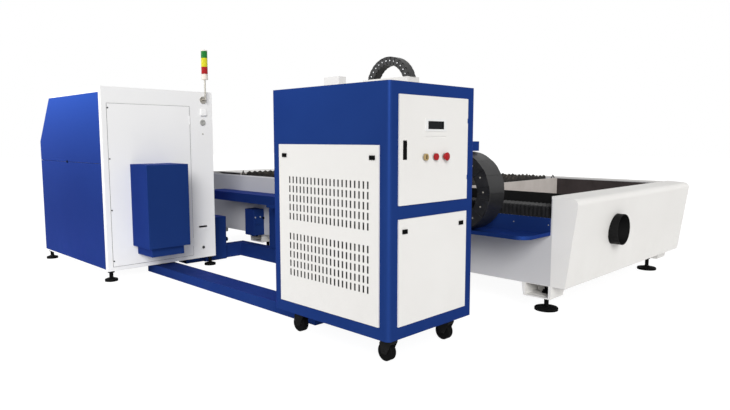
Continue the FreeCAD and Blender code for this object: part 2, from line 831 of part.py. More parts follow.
def gantryBeam():
    far = bedNear + bedFar - columnFar
    beam = tubeBox(beamBack, beamFront, columnFar, far, beamTop - beamHeight, beamTop, beamWall, "Y")
    low = beamTop - beamHeight
    x1 = beamBack - shelfDepth
    shelf = block(x1, beamBack, columnFar, far, low, low + beamWall)
    back = tubeBox(x1, beamBack, columnFar, far, beamTop - shelfDepth, beamTop - ductDrop, sheet, "Y")
    rails = []
    half = beamRail / 2
    for z in (beamTop - railEdge, low + railEdge):
        rails.append(block(beamFront, beamFront + beamRail, columnFar + railEnd, far - railEnd,
                           z - half, z + half))
    return fuse([beam, shelf, back] + rails)


def chainArm():
    """Arm from the near column over the chain, with the plate that the chain's moving end is bolted to."""
    z1 = chainTop + armRise
    z2 = z1 + armHeight
    y1 = chainNear + (chainWidth - armWidth) / 2
    y2 = y1 + armWidth
    x1 = beamBack + armWidth
    arm = block(x1, armTip, y1, y2, z1, z2)
    hollow = block(x1 + armWall, armTip - armWall, y1 + armWall, y2 - armWall, z1 - 1, z2 - armWall)
    flangeY = columnNear - armFlange
    cross = block(x1, beamFront + armWidth, y2 - 1, flangeY + 1, z1, z2)
    flange = block(beamBack + armFlange, beamFront - armFlange, flangeY, columnNear, z1 - armFlangeDrop, z2)
    clamp = block(truckRight - clampPlate, truckRight, y1, y2, chainTop - (chainOuter - chainInner), z1 + 1)
    return fuse([arm.cut(hollow), cross, flange, clamp])


def carriageHousing():
    """Cover that rides on the beam: a plate on the front rails and a cap that reaches over the beam."""
    y1 = carriageY - carriageWidth / 2
    y2 = carriageY + carriageWidth / 2
    x1 = beamFront + beamRail + runGap
    plateBody = block(x1, carriageFront, y1, y2, carriageBottom, carriageTop)
    cap = block(beamBack + capInset, capRight, y1, y2, beamTop + runGap + capLift, carriageTop)
    low = carriageBottom + plate
    hollow = block(x1 + carriagePlate, carriageFront - plate, y1 + plate, y2 - plate, low, beamTop)
    shoes = []
    for z in (beamTop - railEdge, beamTop - beamHeight + railEdge):
        half = beamRail / 2 + runGap
        tall = half + shoeLip
        shoe = block(beamFront + runGap, x1 + 1, y1 + shoeInset, y2 - shoeInset, z - tall, z + tall)
        groove = block(beamFront - 1, x1, y1, y2, z - half, z + half)
        shoes.append(shoe.cut(groove))
    return fuse([plateBody, cap] + shoes).cut(hollow)


def archChain():
    """Short arch of links that leads the fibre and hoses from the beam over to the head."""
    section = chainSection(archInner, archOuter, carriageY - archSide, archWidth)
    gap = math.degrees(linkGap / archOuter)
    radius = (archInner + archOuter) / 2
    foot = math.degrees(math.asin((carriageTop - archZ) / archOuter))
    links = []
    count = math.ceil((180 - 2 * foot) / archLinkAngle)
    first = 90 - count * archLinkAngle / 2
    x1, x2 = archX - archReach, archX + archReach
    floor = block(x1, x2, carriageY - archTrim, carriageY + archTrim, archZ - archReach, carriageTop)
    for k in range(count):
        start = first + k * archLinkAngle
        link = bendLink(section, archX, archZ, start + gap / 2, start + archLinkAngle - gap / 2)
        pin = math.radians(start + archLinkAngle / 2)
        head = pinHead(archX + radius * math.cos(pin), carriageY - archSide, archZ + radius * math.sin(pin))
        links.append(link.fuse(head).cut(floor))
    return [link for link in links if link.Volume > 10]


def cuttingHead():
    """Z slide with the collimator barrel and the conical lower end of the cutting head."""
    x1 = carriageFront + runGap
    x = x1 + headDepth / 2
    half = headWidth / 2
    slide = block(x1, x1 + headSlide, carriageY - half, carriageY + half, headShoulder + slideFoot, headTop)
    y1, y2 = carriageY - half + bodyInset, carriageY + half - bodyInset
    body = block(x1 + headSlide - 4, x1 + headDepth, y1, y2, headShoulder + bodyFoot, headTop - bodyTop)
    up = vec(0, 0, 1)
    coneFoot = headShoulder - coneHeight
    barrel = rod(x + barrelOffset, carriageY, headShoulder, up, barrelRadius, barrelHeight)
    cone = Part.makeCone(sensorRadius, barrelRadius, coneHeight, vec(x + barrelOffset, carriageY, coneFoot),
                         up)
    low = nozzleTip + sensorFoot
    sensor = rod(x + barrelOffset, carriageY, low, up, sensorRadius, coneFoot - low)
    return fuse([slide, body, barrel, cone, sensor])


def nozzle():
    x = carriageFront + runGap + headDepth / 2 + barrelOffset
    ring = rod(x, carriageY, nozzleTip + 26, vec(0, 0, 1), 16, 14)
    tip = Part.makeCone(4, 14, 26, vec(x, carriageY, nozzleTip), vec(0, 0, 1))
    bore = rod(x, carriageY, nozzleTip - 1, vec(0, 0, 1), 1.5, 42)
    return fuse([ring, tip]).cut(bore)


# ---------------------------------------------------------------- console
def consoleOutline(inset):
    """Side view of the console, moved inwards by the inset."""
    slant = math.atan2(consoleTop - slopeFoot, slopeRun)
    bend = inset * math.tan((math.pi / 2 - slant) / 2)
    crest = inset * math.tan(slant / 2)
    return [
        (consoleFront + inset, consoleBase + inset), (consoleRear - inset, consoleBase + inset),
        (consoleRear - inset, consoleTop - inset), (consoleSlopeTop + crest, consoleTop - inset),
        (consoleFront + inset, slopeFoot - bend),
    ]


def sideOutline(low, high):
    """The part of the console's side view that a side panel covers, between two heights."""
    right = consoleRear - capBand
    slope = slopeRun / (consoleTop - slopeFoot)
    points = [(consoleFront, low), (right, low), (right, high)]
    if high > slopeFoot:
        points += [(consoleFront + (high - slopeFoot) * slope, high), (consoleFront, slopeFoot)]
    else:
        points.append((consoleFront, high))
    return points


def sidePanelsOn(y1, y2):
    low = prismY(sideOutline(consoleBase + panelFoot, panelSeam - seamGap / 2), y1, y2)
    high = prismY(sideOutline(panelSeam + seamGap / 2, consoleTop - capBand), y1, y2)
    return [low, high]


def consoleSidePanels():
    near = sidePanelsOn(consoleNear, consoleNear + sidePanel)
    far = sidePanelsOn(consoleFar - sidePanel, consoleFar)
    return near + far


def doorFrame(inset):
    y1 = consoleNear + doorNear + inset
    y2 = consoleNear + doorNear + doorWidth - inset
    return y1, y2, consoleBase + doorFoot + inset, consoleBase + doorFoot + doorHeight - inset


def consoleCabinet():
    """Folded shell with recesses for the side panels, the doorway behind and the drawer's opening."""
    shell = prismY(consoleOutline(0), consoleNear, consoleFar)
    recess = prismY(sideOutline(consoleBase + panelFoot, consoleTop - capBand), consoleNear - 1,
                    consoleNear + sidePanel)
    other = prismY(sideOutline(consoleBase + panelFoot, consoleTop - capBand), consoleFar - sidePanel,
                   consoleFar + 1)
    room = prismY(consoleOutline(sheet), consoleNear + sidePanel + sheet, consoleFar - sidePanel - sheet)
    y1, y2, z1, z2 = doorFrame(doorOverlap)
    doorway = block(consoleRear - sheet - 1, consoleRear + 1, y1, y2, z1, z2)
    x = consoleRear - sheet - 1
    y = towerY + slotWidth / 11
    slot = block(x, consoleRear + 1, y - slotWidth, y, slotZ - slotTall / 2, slotZ + slotTall / 2)
    hole = rod(x, y - slotWidth / 2, cableHoleZ, vec(1, 0, 0), cableHoleRadius, sheet + 2)
    stopHole = onDesk(rod(0, 0, -2 * sheet, vec(0, 0, 1), stopRadius / 2 + stemClear, 3 * sheet), stopPlace)
    y1, y2, z1, z2 = drawerFrame(runGap + 1)
    drawerWay = block(consoleFront - 1, consoleFront + sheet + 1, y1, y2, z1, z2)
    back = consoleFront + drawerDepth + shelfPast
    shelf = block(consoleFront + sheet, back, y1 - shelfSide, y2 + shelfSide, z1 - 6, z1 - 1.3 + runGap)
    y1, y2, z1, z2 = doorFrame(0)
    hinges = cabinetHinges(consoleRear, y2, z1, z2)
    shell = shell.cut(recess).cut(other).cut(room)
    shell = fuse([shell, shelf] + hinges)
    return shell.cut(doorway).cut(slot).cut(hole).cut(drawerWay).cut(stopHole)


def drawerFrame(grow):
    middle = (consoleNear + consoleFar) / 2
    high = slopeFoot - drawerTopGap
    half = drawerWidth / 2 + grow
    return middle - half, middle + half, high - drawerHeight - grow, high + grow


def keyboardDrawer():
    """Shallow tray with a front panel and a keyboard lying in it."""
    y1, y2, z1, z2 = drawerFrame(0)
    tray = block(consoleFront + 1, consoleFront + drawerDepth, y1, y2, z1, z2)
    back = consoleFront + drawerDepth - sheet
    room = block(consoleFront + 8, back, y1 + sheet, y2 - sheet, z1 + sheet, z2 + 1)
    a, b = consoleFront + keyboardPlace[0], consoleFront + keyboardPlace[1]
    keys = block(a, b, y1 + keyboardInset, y2 - keyboardInset, z1 + sheet - 1, z1 + keyboardTop)
    edge = drawerLip
    lip = block(consoleFront - edge, consoleFront - runGap, y1 - edge, y2 + edge, z1 - edge, z2 + edge)
    neck = block(consoleFront - 1, consoleFront + 2, y1, y2, z1, z2)
    return fuse([tray.cut(room), keys, lip, neck])


def onDesk(shape, place):
    """Puts a piece made about the origin on the sloping desk: its +Z becomes the desk's outward normal.

    The place is how far up the desk it sits, and how far from the cabinet's far side."""
    along, fromFar = place
    slant = math.degrees(math.atan2(consoleTop - slopeFoot, slopeRun))
    shape.rotate(vec(0, 0, 0), vec(0, 1, 0), -slant)
    share = along / math.hypot(slopeRun, consoleTop - slopeFoot)
    rise = share * (consoleTop - slopeFoot)
    shape.translate(vec(consoleFront + share * slopeRun, consoleFar - fromFar, slopeFoot + rise))
    return shape


def hingeHeights(z1, z2):
    return (z1 + hingeInset, z2 - hingeInset)


def cabinetHinges(face, y, z1, z2):
    """For each hinge of a door on a +X face: the middle knuckle with its pin and the web that holds it."""
    x = face + hingeOff
    up = vec(0, 0, 1)
    pieces = []
    for z in hingeHeights(z1, z2):
        low = z - knuckleLength / 2
        pieces.append(rod(x, y, low, up, hingeRadius, knuckleLength))
        pieces.append(rod(x, y, low - knuckleLength, up, hingePin, 3 * knuckleLength))
        pieces.append(block(face - 1, x, y, y + hingeRadius, low, low + knuckleLength))
    return pieces


def hungLeaf(leaf, face, y, z1, z2, depth):
    """Gives a door leaf its knuckles above and below each cabinet knuckle, and the notch for that one."""
    x = face + hingeOff
    up = vec(0, 0, 1)
    clear = knuckleLength / 2 + runGap
    knuckles = []
    notches = []
    for z in hingeHeights(z1, z2):
        for low in (z + clear, z - clear - knuckleLength):
            knuckles.append(rod(x, y, low, up, hingeRadius, knuckleLength))
            notches.append(rod(x, y, low - 1, up, hingePin + fitGap, knuckleLength + 2))
        side = hingeRadius + 2 * runGap
        notches.append(block(face - 1, face + depth + 1, y - side, y + side, z - clear, z + clear))
    return fuse([leaf] + knuckles).cut(Part.makeCompound(notches))


def monitor():
    """Screen housing on the desk, with the glass set back in its bezel."""
    wide = screenWidth + 2 * bezel
    tall = screenHeight + 2 * bezel
    body = block(-tall / 2, tall / 2, -wide / 2, wide / 2, 0, screenProud)
    recess = block(-screenHeight / 2, screenHeight / 2, -screenWidth / 2, screenWidth / 2,
                   screenProud - 4, screenProud + 1)
    return onDesk(body.cut(recess), monitorPlace)


def stopButton():
    stem = rod(0, 0, -4 * sheet, vec(0, 0, 1), stopRadius / 2, 4 * sheet + 20)
    head = Part.makeCone(stopRadius, stopRadius * 0.8, 12, vec(0, 0, 16), vec(0, 0, 1))
    return onDesk(fuse([stem, head]), stopPlace)


def rearDoor():
    """Door leaf that lies on the cabinet's back, with folded edges reaching into the doorway."""
    y1, y2, z1, z2 = doorFrame(0)
    leaf = block(consoleRear + runGap, consoleRear + doorSheet, y1, y2, z1, z2)
    leaf = hungLeaf(leaf, consoleRear, y2, z1, z2, doorSheet)
    y1, y2, z1, z2 = doorFrame(doorOverlap + 8)
    fold = tubeBox(consoleRear - 20, consoleRear + 1, y1, y2, z1, z2, 2.0, "X")
    return fuse([leaf, fold])


def doorCooler():
    """Cooling unit on the door, with a narrower outlet under it."""
    y1 = consoleNear + coolerNear
    y2 = y1 + coolerWidth
    x1 = consoleRear + doorSheet
    x2 = consoleRear + coolerDepth
    inset = coolerStepInset
    body = block(x1, x2, y1, y2, coolerBottom, coolerTop)
    step = block(x1, x2 - inset, y1 + inset, y2 - inset, coolerBottom - coolerStep, coolerBottom + 1)
    return fuse([body, step])


def electricalPlate():
    """Mounting plate inside the console with its drives and wiring ducts."""
    x = consoleRear - plateSetback
    y1 = consoleNear + sidePanel + sheet
    y2 = consoleFar - sidePanel - sheet
    z1 = consoleBase + sheet
    pieces = [block(x - plateSheet, x, y1, y2, z1, consoleTop - 2 * coolerStepInset)]
    deep, wide, tall = driveSize
    first = (y1 + y2 - (driveCount - 1) * drivePitch - wide) / 2
    for row in driveRows:
        for k in range(driveCount):
            y = first + k * drivePitch
            pieces.append(block(x - 1, x + deep, y, y + wide, z1 + row, z1 + row + tall))
    deep, tall = wireDuct
    for row in ductRows:
        pieces.append(block(x - 1, x + deep, y1 + wide / 2, y2 - wide / 2, z1 + row, z1 + row + tall))
    return fuse(pieces)


def signalTower():
    """Round foot on the console's back, a bent pole, and the base and cap of the lamps."""
    up = vec(0, 0, 1)
    out = vec(1, 0, 0)
    foot = rod(consoleRear, towerY, towerFoot, out, towerFootRadius, towerPole)
    arm = rod(consoleRear, towerY, towerFoot, out, towerPole, towerOut)
    elbow = Part.makeSphere(towerPole, vec(towerX, towerY, towerFoot))
    pole = rod(towerX, towerY, towerFoot, up, towerPole, towerBase - towerFoot)
    base = rod(towerX, towerY, towerBase, up, towerRadius, towerBaseHeight - towerNeck)
    neck = rod(towerX, towerY, lensRed - towerNeck, up, 0.87 * towerRadius, towerNeck)
    cap = rod(towerX, towerY, lensEnd, up, towerRadius, towerCap)
    return [fuse([foot, arm, elbow, pole, base, neck]), cap]


def lens(low, high):
    return rod(towerX, towerY, low, vec(0, 0, 1), towerRadius, high - low)


# ---------------------------------------------------------------- laser source and chiller cabinet
def ventPanelFrame(inset):
    x1 = chillerLeft + ventPanelLeft + inset
    x2 = chillerRight - ventPanelRight - inset
    return x1, x2, chillerBase + ventPanelFoot + inset, chillerTop - ventPanelHead - inset


def sideDoorFrame(low, high, inset):
    y1 = chillerNear + doorSideNear + inset
    y2 = chillerFar - doorSideFar - inset
    return y1, y2, chillerBase + low + inset, chillerBase + high - inset


def chillerCabinet():
    """Blue cabinet with rounded upright corners, a shelf, and one opening behind each cover."""
    outer = block(chillerLeft, chillerRight, chillerNear, chillerFar, chillerBase, chillerTop)
    upright = [e for e in outer.Edges if abs(e.tangentAt(e.FirstParameter).z) > 0.9]
    outer = outer.makeFillet(cornerRound, upright)
    wall = sheet
    room = block(chillerLeft + wall, chillerRight - wall, chillerNear + wall, chillerFar - wall,
                 chillerBase + wall, chillerTop - wall)
    upright = [e for e in room.Edges if abs(e.tangentAt(e.FirstParameter).z) > 0.9]
    room = room.makeFillet(cornerRound - wall, upright)
    x1, x2, z1, z2 = ventPanelFrame(coverOverlap)
    side = block(x1, x2, chillerNear - 1, chillerNear + wall + 1, z1, z2)
    y1, y2, z1, z2 = sideDoorFrame(upperDoorFoot, upperDoorTop, coverOverlap)
    upper = block(chillerRight - wall - 1, chillerRight + 1, y1, y2, z1, z2)
    y1, y2, z1, z2 = sideDoorFrame(lowerDoorFoot, lowerDoorTop, coverOverlap)
    lower = block(chillerRight - wall - 1, chillerRight + 1, y1, y2, z1, z2)
    shelf = block(chillerLeft + 1, chillerRight - 1, chillerNear + 1, chillerFar - 1, shelfZ, shelfZ + wall)
    shelf = shelf.common(outer)
    pads = []
    for x, y in casterPlaces():
        half = 1.2 * casterPlateRadius
        low = chillerBase - casterPad - kingDrop
        pads.append(block(x - half, x + half, y - half, y + half, chillerBase - casterPad, chillerBase + 1))
        pads.append(rod(x, y, low, vec(0, 0, 1), kingPin, kingDrop + 1))
        pads.append(rod(x, y, low, vec(0, 0, 1), 1.5 * kingPin, 0.25 * kingDrop))
    y1, y2, z1, z2 = sideDoorFrame(upperDoorFoot, upperDoorTop, 0)
    hinges = cabinetHinges(chillerRight, y2, z1, z2)
    return fuse([outer.cut(room).cut(side).cut(upper).cut(lower), shelf] + pads + hinges)


def ventedPanel():
    """Lift-off pan with two fields of upright slots and a slot behind each latch."""
    x1, x2, z1, z2 = ventPanelFrame(0)
    face = chillerNear - coverDepth
    back = chillerNear + 1
    rim = coverSheet
    hollow = block(x1 + rim, x2 - rim, face + rim, back, z1 + rim, z2 - rim)
    holes = []
    for low in (ventLowZ, ventHighZ):
        for row in range(ventRows):
            for column in range(ventColumns):
                x = ventFirstX + column * ventPitchX
                z = low + row * ventPitchZ
                holes.append(block(x, x + ventWide, face - 1, back, z, z + ventTall))
    for x, direction in ventLatches():
        a, b = latchSlot(x, direction)
        holes.append(block(a, b, face - 1, back, z2 - latchDrop - latchNeck, z2 - latchDrop + latchNeck))
    panel = block(x1, x2, face, chillerNear, z1, z2)
    return panel.cut(hollow).cut(Part.makeCompound(holes))


def latchSlot(place, direction):
    """Ends of the slot that lets a latch's stem travel."""
    return sorted((place - direction * (latchStem + runGap),
                   place + direction * (latchStem + runGap + latchTravel)))


def ventLatches():
    x1, x2, z1, z2 = ventPanelFrame(0)
    return [(x1 + latchInset, 1), (x2 - latchInsetCorner, -1)]


def ventLatch(k):
    """Thumb piece on the outside, a stem through the cover and a tongue behind the cabinet's edge."""
    z = ventPanelFrame(0)[3] - latchDrop
    x, direction = ventLatches()[k]
    y = chillerNear - coverDepth
    deep = chillerNear + sheet + runGap
    thumb = block(x - latchWide / 2, x + latchWide / 2, y - latchProud, y - runGap,
                  z - latchTall / 2, z + latchTall / 2)
    pieces = [thumb]
    for d in (-latchStem, 0, latchStem):
        pieces.append(block(x + d - 1.5, x + d + 1.5, y - latchProud - 1.5, y - latchProud + 1,
                            z - latchStem, z + latchStem))
    pieces.append(block(x - latchStem, x + latchStem, y - 1, deep + 4, z - latchNeck + 1, z + latchNeck - 1))
    a, b = sorted((x - direction * latchTongue, x + direction * latchStem))
    pieces.append(block(a, b, deep, deep + 4, z - latchStem, z + latchStem))
    return fuse(pieces)


def lowerCover():
    """Lift-off pan with a slot behind each latch."""
    y1, y2, z1, z2 = sideDoorFrame(lowerDoorFoot, lowerDoorTop, 0)
    face = chillerRight + coverDepth
    rim = coverSheet
    panel = block(chillerRight, face, y1, y2, z1, z2)
    hollow = block(chillerRight - 1, face - rim, y1 + rim, y2 - rim, z1 + rim, z2 - rim)
    holes = []
    for y, direction in coverLatches():
        a, b = latchSlot(y, direction)
        holes.append(block(chillerRight, face + 1, a, b,
                           z2 - latchDrop - latchNeck, z2 - latchDrop + latchNeck))
    return panel.cut(hollow).cut(Part.makeCompound(holes))


def coverLatches():
    y1, y2, z1, z2 = sideDoorFrame(lowerDoorFoot, lowerDoorTop, 0)
    return [(y1 + latchInsetCorner, 1), (y2 - latchInset, -1)]


def coverLatch(k):
    z = sideDoorFrame(lowerDoorFoot, lowerDoorTop, 0)[3] - latchDrop
    y, direction = coverLatches()[k]
    x = chillerRight + coverDepth
    deep = chillerRight - sheet - runGap
    thumb = block(x + runGap, x + latchProud, y - latchWide / 2, y + latchWide / 2,
                  z - latchTall / 2, z + latchTall / 2)
    pieces = [thumb]
    for d in (-latchStem, 0, latchStem):
        pieces.append(block(x + latchProud - 1, x + latchProud + 1.5, y + d - 1.5, y + d + 1.5,
                            z - latchStem, z + latchStem))
    pieces.append(block(deep - 4, x + 1, y - latchStem, y + latchStem, z - latchNeck + 1, z + latchNeck - 1))
    a, b = sorted((y - direction * latchTongue, y + direction * latchStem))
    pieces.append(block(deep - 4, deep, a, b, z - latchStem, z + latchStem))
    return fuse(pieces)


def upperDoor():
    """Hinged pan with the display's window, a pressed line, control holes and the handle's dish."""
    y1, y2, z1, z2 = sideDoorFrame(upperDoorFoot, upperDoorTop, 0)
    face = chillerRight + coverDepth
    rim = coverSheet
    leaf = block(chillerRight + runGap, face, y1, y2, z1, z2)
    leaf = leaf.cut(block(chillerRight - 1, face - rim, y1 + rim, y2 - rim, z1 + rim, z2 - rim))
    leaf = hungLeaf(leaf, chillerRight, y2, z1, z2, coverDepth)
    y1, y2, z1, z2 = sideDoorFrame(upperDoorFoot, upperDoorTop, coverOverlap + 6)
    fold = tubeBox(chillerRight - 22, face - rim + 1, y1, y2, z1, z2, rim, "X")
    wide = handleWide / 2
    tall = handleTall / 2
    dish = block(face - dishDepth, face - 1, handleY - wide - rim, handleY + wide + rim,
                 handleZ - tall - rim, handleZ + tall + rim)
    room = block(face - dishDepth + rim, face + 1, handleY - wide, handleY + wide,
                 handleZ - tall, handleZ + tall)
    w, h = displaySize
    groove = grooveLength / 2
    cuts = [
        room,
        block(chillerRight, face + 1, displayY - w / 2, displayY + w / 2, displayZ - h / 2, displayZ + h / 2),
        block(face - 1, face + 1, displayY - groove, displayY + groove,
              grooveZ - grooveHeight / 2, grooveZ + grooveHeight / 2),
    ]
    for y in (keyY, pushY, mushroomY):
        cuts.append(rod(chillerRight, y, buttonZ, vec(1, 0, 0), stemRadius + stemClear, coverDepth + 1))
    pin = rod(handleAxis()[0], handleY - wide - 1, handleAxis()[1], vec(0, 1, 0), handlePin, handleWide + 2)
    return fuse([fuse([leaf, fold, dish]).cut(Part.makeCompound(cuts)), pin])


def handleAxis():
    """X and Z of the pin that the paddle turns about."""
    return chillerRight + coverDepth - 2 * handlePin, handleZ + handleTall / 2 - handlePinDrop


def doorDisplay():
    """Display module behind the window, with a flat bezel on the door's face."""
    w, h = displaySize
    x = chillerRight + coverDepth
    y1 = displayY - w / 2
    y2 = displayY + w / 2
    z1 = displayZ - h / 2
    z2 = displayZ + h / 2
    rim = displayBezel
    plateOut = block(x, x + sheet, y1 - rim, y2 + rim, z1 - rim / 2, z2 + rim / 2)
    module = block(chillerRight - 30, x + 1, y1 + runGap, y2 - runGap, z1 + runGap, z2 - runGap)
    window = block(x - 1, x + sheet + 1, y1 + rim / 4, y2 - rim / 4, z1 + rim / 8, z2 - rim / 8)
    return fuse([plateOut, module]).cut(window)


def pushControl(y, radius, headLength, share):
    """A control: a stem through the leaf and a head outside, narrower at its root by the share."""
    x = chillerRight + coverDepth + 8
    stem = rod(chillerRight - 18, y, buttonZ, vec(1, 0, 0), stemRadius, x - chillerRight + 19)
    head = rod(x, y, buttonZ, vec(1, 0, 0), radius, headLength)
    if share < 1:
        head = Part.makeCone(radius * share, radius, headLength, vec(x, y, buttonZ), vec(1, 0, 0))
    return fuse([stem, head])


def doorHandle():
    """Paddle lying in its dish, with a knuckle round the dish's pin; its lower end lifts."""
    x, z = handleAxis()
    radius = 2 * handlePin
    y1 = handleY - handleWide / 2 + handlePlay
    y2 = handleY + handleWide / 2 - handlePlay
    low = handleZ - handleTall / 2 + handlePlay
    knuckle = rod(x, y1, z, vec(0, 1, 0), radius, y2 - y1)
    paddle = block(x - radius / 2, x + radius, y1, y2, low, z)
    bore = rod(x, y1 - 1, z, vec(0, 1, 0), handlePin + fitGap, y2 - y1 + 2)
    return fuse([knuckle, paddle]).cut(bore)


def laserSource():
    """Laser module on the cabinet's shelf, with its front handles."""
    left, side, right = laserInset
    reach, bar, tall = laserGrip
    z = shelfZ + sheet
    x = chillerRight - right
    pieces = [block(chillerLeft + left, x, chillerNear + side, chillerFar - side, z, z + laserTall)]
    low = z + (laserTall - tall) / 2
    for y in (chillerNear + side + laserGripInset, chillerFar - side - laserGripInset - bar):
        pieces.append(block(x - 1, x + reach, y, y + bar, low, low + bar))
        pieces.append(block(x - 1, x + reach, y, y + bar, low + tall - bar, low + tall))
        pieces.append(block(x + reach - bar, x + reach, y, y + bar, low, low + tall))
    return fuse(pieces)


def coolingUnit():
    """Water chiller low in the cabinet: base, tank, compressor and the condenser behind the slots."""
    z = chillerBase + sheet
    x1 = chillerLeft + coolerMargin
    x2 = chillerRight - 2 * coolerMargin
    y1 = chillerNear + coolerMargin
    y2 = chillerFar - coolerMargin
    tankLong, tankWide, tankTall = tankSize
    top = z + plate + sheet
    turn = 1.5 * compressorRadius
    pieces = [
        block(x1, x2, y1, y2, z, top),
        block(x1 + plate, x2 - plate, y1, y1 + condenserDepth, top - 1, z + condenserTall),
        block(x1 + plate, x1 + plate + tankLong, y2 - plate - tankWide, y2 - plate, top - 1, top + tankTall),
        rod(x2 - turn, y2 - turn, top - 1, vec(0, 0, 1), compressorRadius, compressorTall),
    ]
    return fuse(pieces)


def casterPlaces():
    """Where the casters swivel."""
    xs = (chillerLeft + casterInsetFar + casterTrail, chillerRight - casterInset + casterTrail)
    ys = (chillerNear + casterInset, chillerFar - casterInsetFar)
    return [(x, y) for x in xs for y in ys]


def casterFork(x, y):
    """Swivel plate on the king pin, a hood of two cheeks joined behind the pin, and the axle."""
    top = chillerBase - casterPad - runGap
    half = casterWheelWidth / 2 + 3
    wide = half + casterSheet
    axleX = x - casterTrail
    swivel = rod(x, y, top - casterSheet, vec(0, 0, 1), casterPlateRadius, casterSheet)
    outline = [
        (x + 28, top - 2), (x + 28, top - 34), (axleX + 18, casterWheel - 12), (axleX - 18, casterWheel - 12),
        (axleX - 34, top - 46), (x - 34, top - 2),
    ]
    hood = prismY(outline, y - wide, y + wide)
    room = block(axleX - 60, x + 28 - casterSheet, y - half, y + half, 0, top - casterSheet)
    axle = rod(axleX, y - wide - 4, casterWheel, vec(0, 1, 0), axleRadius, 2 * wide + 8)
    way = rod(x, y, 0, vec(0, 0, 1), kingPin + fitGap, chillerBase)
    return fuse([fuse([swivel, hood]).cut(room).cut(way), axle])


def casterRoller(x, y):
    axleX = x - casterTrail
    side = vec(0, 1, 0)
    wheel = rod(axleX, y - casterWheelWidth / 2, casterWheel, side, casterWheel, casterWheelWidth)
    rims = [e for e in wheel.Edges if e.Curve.TypeId == "Part::GeomCircle"]
    hub = rod(axleX, y - casterWheelWidth / 2 - 2, casterWheel, side, hubRadius, casterWheelWidth + 4)
    bore = rod(axleX, y - casterWheelWidth, casterWheel, side, axleRadius + fitGap, 2 * casterWheelWidth)
    return fuse([wheel.makeChamfer(casterChamfer, rims), hub]).cut(bore)


def build():
    save("bed_frame", [bedFrame()])
    duct = rod(seamRight, ductY, ductZ, vec(1, 0, 0), ductRadius + 1, ductReach)
    collar = rod(seamRight, ductY, ductZ, vec(1, 0, 0), ductRadius + ductFlange + 1, ductWall + 1)
    save("duct_end_housing", [endHousing(seamRight, 1).cut(duct).cut(collar)])
    save("plain_end_housing", [endHousing(seamLeft, -1)])
    save("compartment_lining", compartmentLining())
    save("exhaust_duct", [exhaustDuct()])
    save("levelling_feet", levellingFeet())
    save("slat_carrier", [slatCarrier()])
    save("cutting_slats", [slat(x) for x in slatXs()])
    save("linear_guides", linearGuides())
    save("bellows_right", bellowsPair(truckRight, seamRight - plate))
    save("bellows_left", bellowsPair(seamLeft + plate, truckLeft))
    save("cable_tray", trayAndTrunk())
    save("floor_troughs", [consoleTrough(), bedTrough()])
    save("junction_box", [junctionBox()])
    band = chainOuter - chainInner
    save("chain_lower_run", straightRun(chainFixedX, bendX, chainBottom, chainBottom + band))
    save("chain_lower_bend", bendHalf(-1))
    save("chain_upper_bend", bendHalf(1))
    save("chain_upper_run", straightRun(chainMovingX, bendX, chainTop - band, chainTop))
    save("gantry_columns", gantryColumns())
    save("gantry_beam", [gantryBeam()])
    save("chain_arm", [chainArm()])
    save("carriage_housing", [carriageHousing()])
    save("arch_chain", archChain())
    save("cutting_head", [cuttingHead()])
    save("nozzle", [nozzle()])
    save("console_cabinet", [consoleCabinet()])
    save("console_side_panels", consoleSidePanels())
    save("rear_door", [rearDoor()])
    save("door_cooler", [doorCooler()])
    save("monitor", [monitor()])
    save("keyboard_drawer", [keyboardDrawer()])
    save("console_stop_button", [stopButton()])
    save("electrical_plate", [electricalPlate()])
    save("signal_tower", signalTower())
    save("lens_red", [lens(lensRed, lensYellow)])
    save("lens_yellow", [lens(lensYellow, lensGreen)])
    save("lens_green", [lens(lensGreen, lensEnd)])
    save("chiller_cabinet", [chillerCabinet()])
    save("vented_panel", [ventedPanel()])
    save("lower_cover", [lowerCover()])
    save("upper_door", [upperDoor()])
    save("door_display", [doorDisplay()])
    save("door_handle", [doorHandle()])
    save("key_switch", [pushControl(keyY, keyRadius, 8, 1.0)])
    save("push_button", [pushControl(pushY, pushRadius, 8, 1.0)])
    save("mushroom_button", [pushControl(mushroomY, mushroomRadius, 16, 0.75)])
    save("laser_source", [laserSource()])
    save("cooling_unit", [coolingUnit()])
    for k in range(2):
        save(f"side_latch_{k + 1}", [ventLatch(k)])
        save(f"cover_latch_{k + 1}", [coverLatch(k)])
    for k, (x, y) in enumerate(casterPlaces()):
        save(f"caster_fork_{k + 1}", [casterFork(x, y)])
        save(f"caster_wheel_{k + 1}", [casterRoller(x, y)])


build()
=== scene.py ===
import math

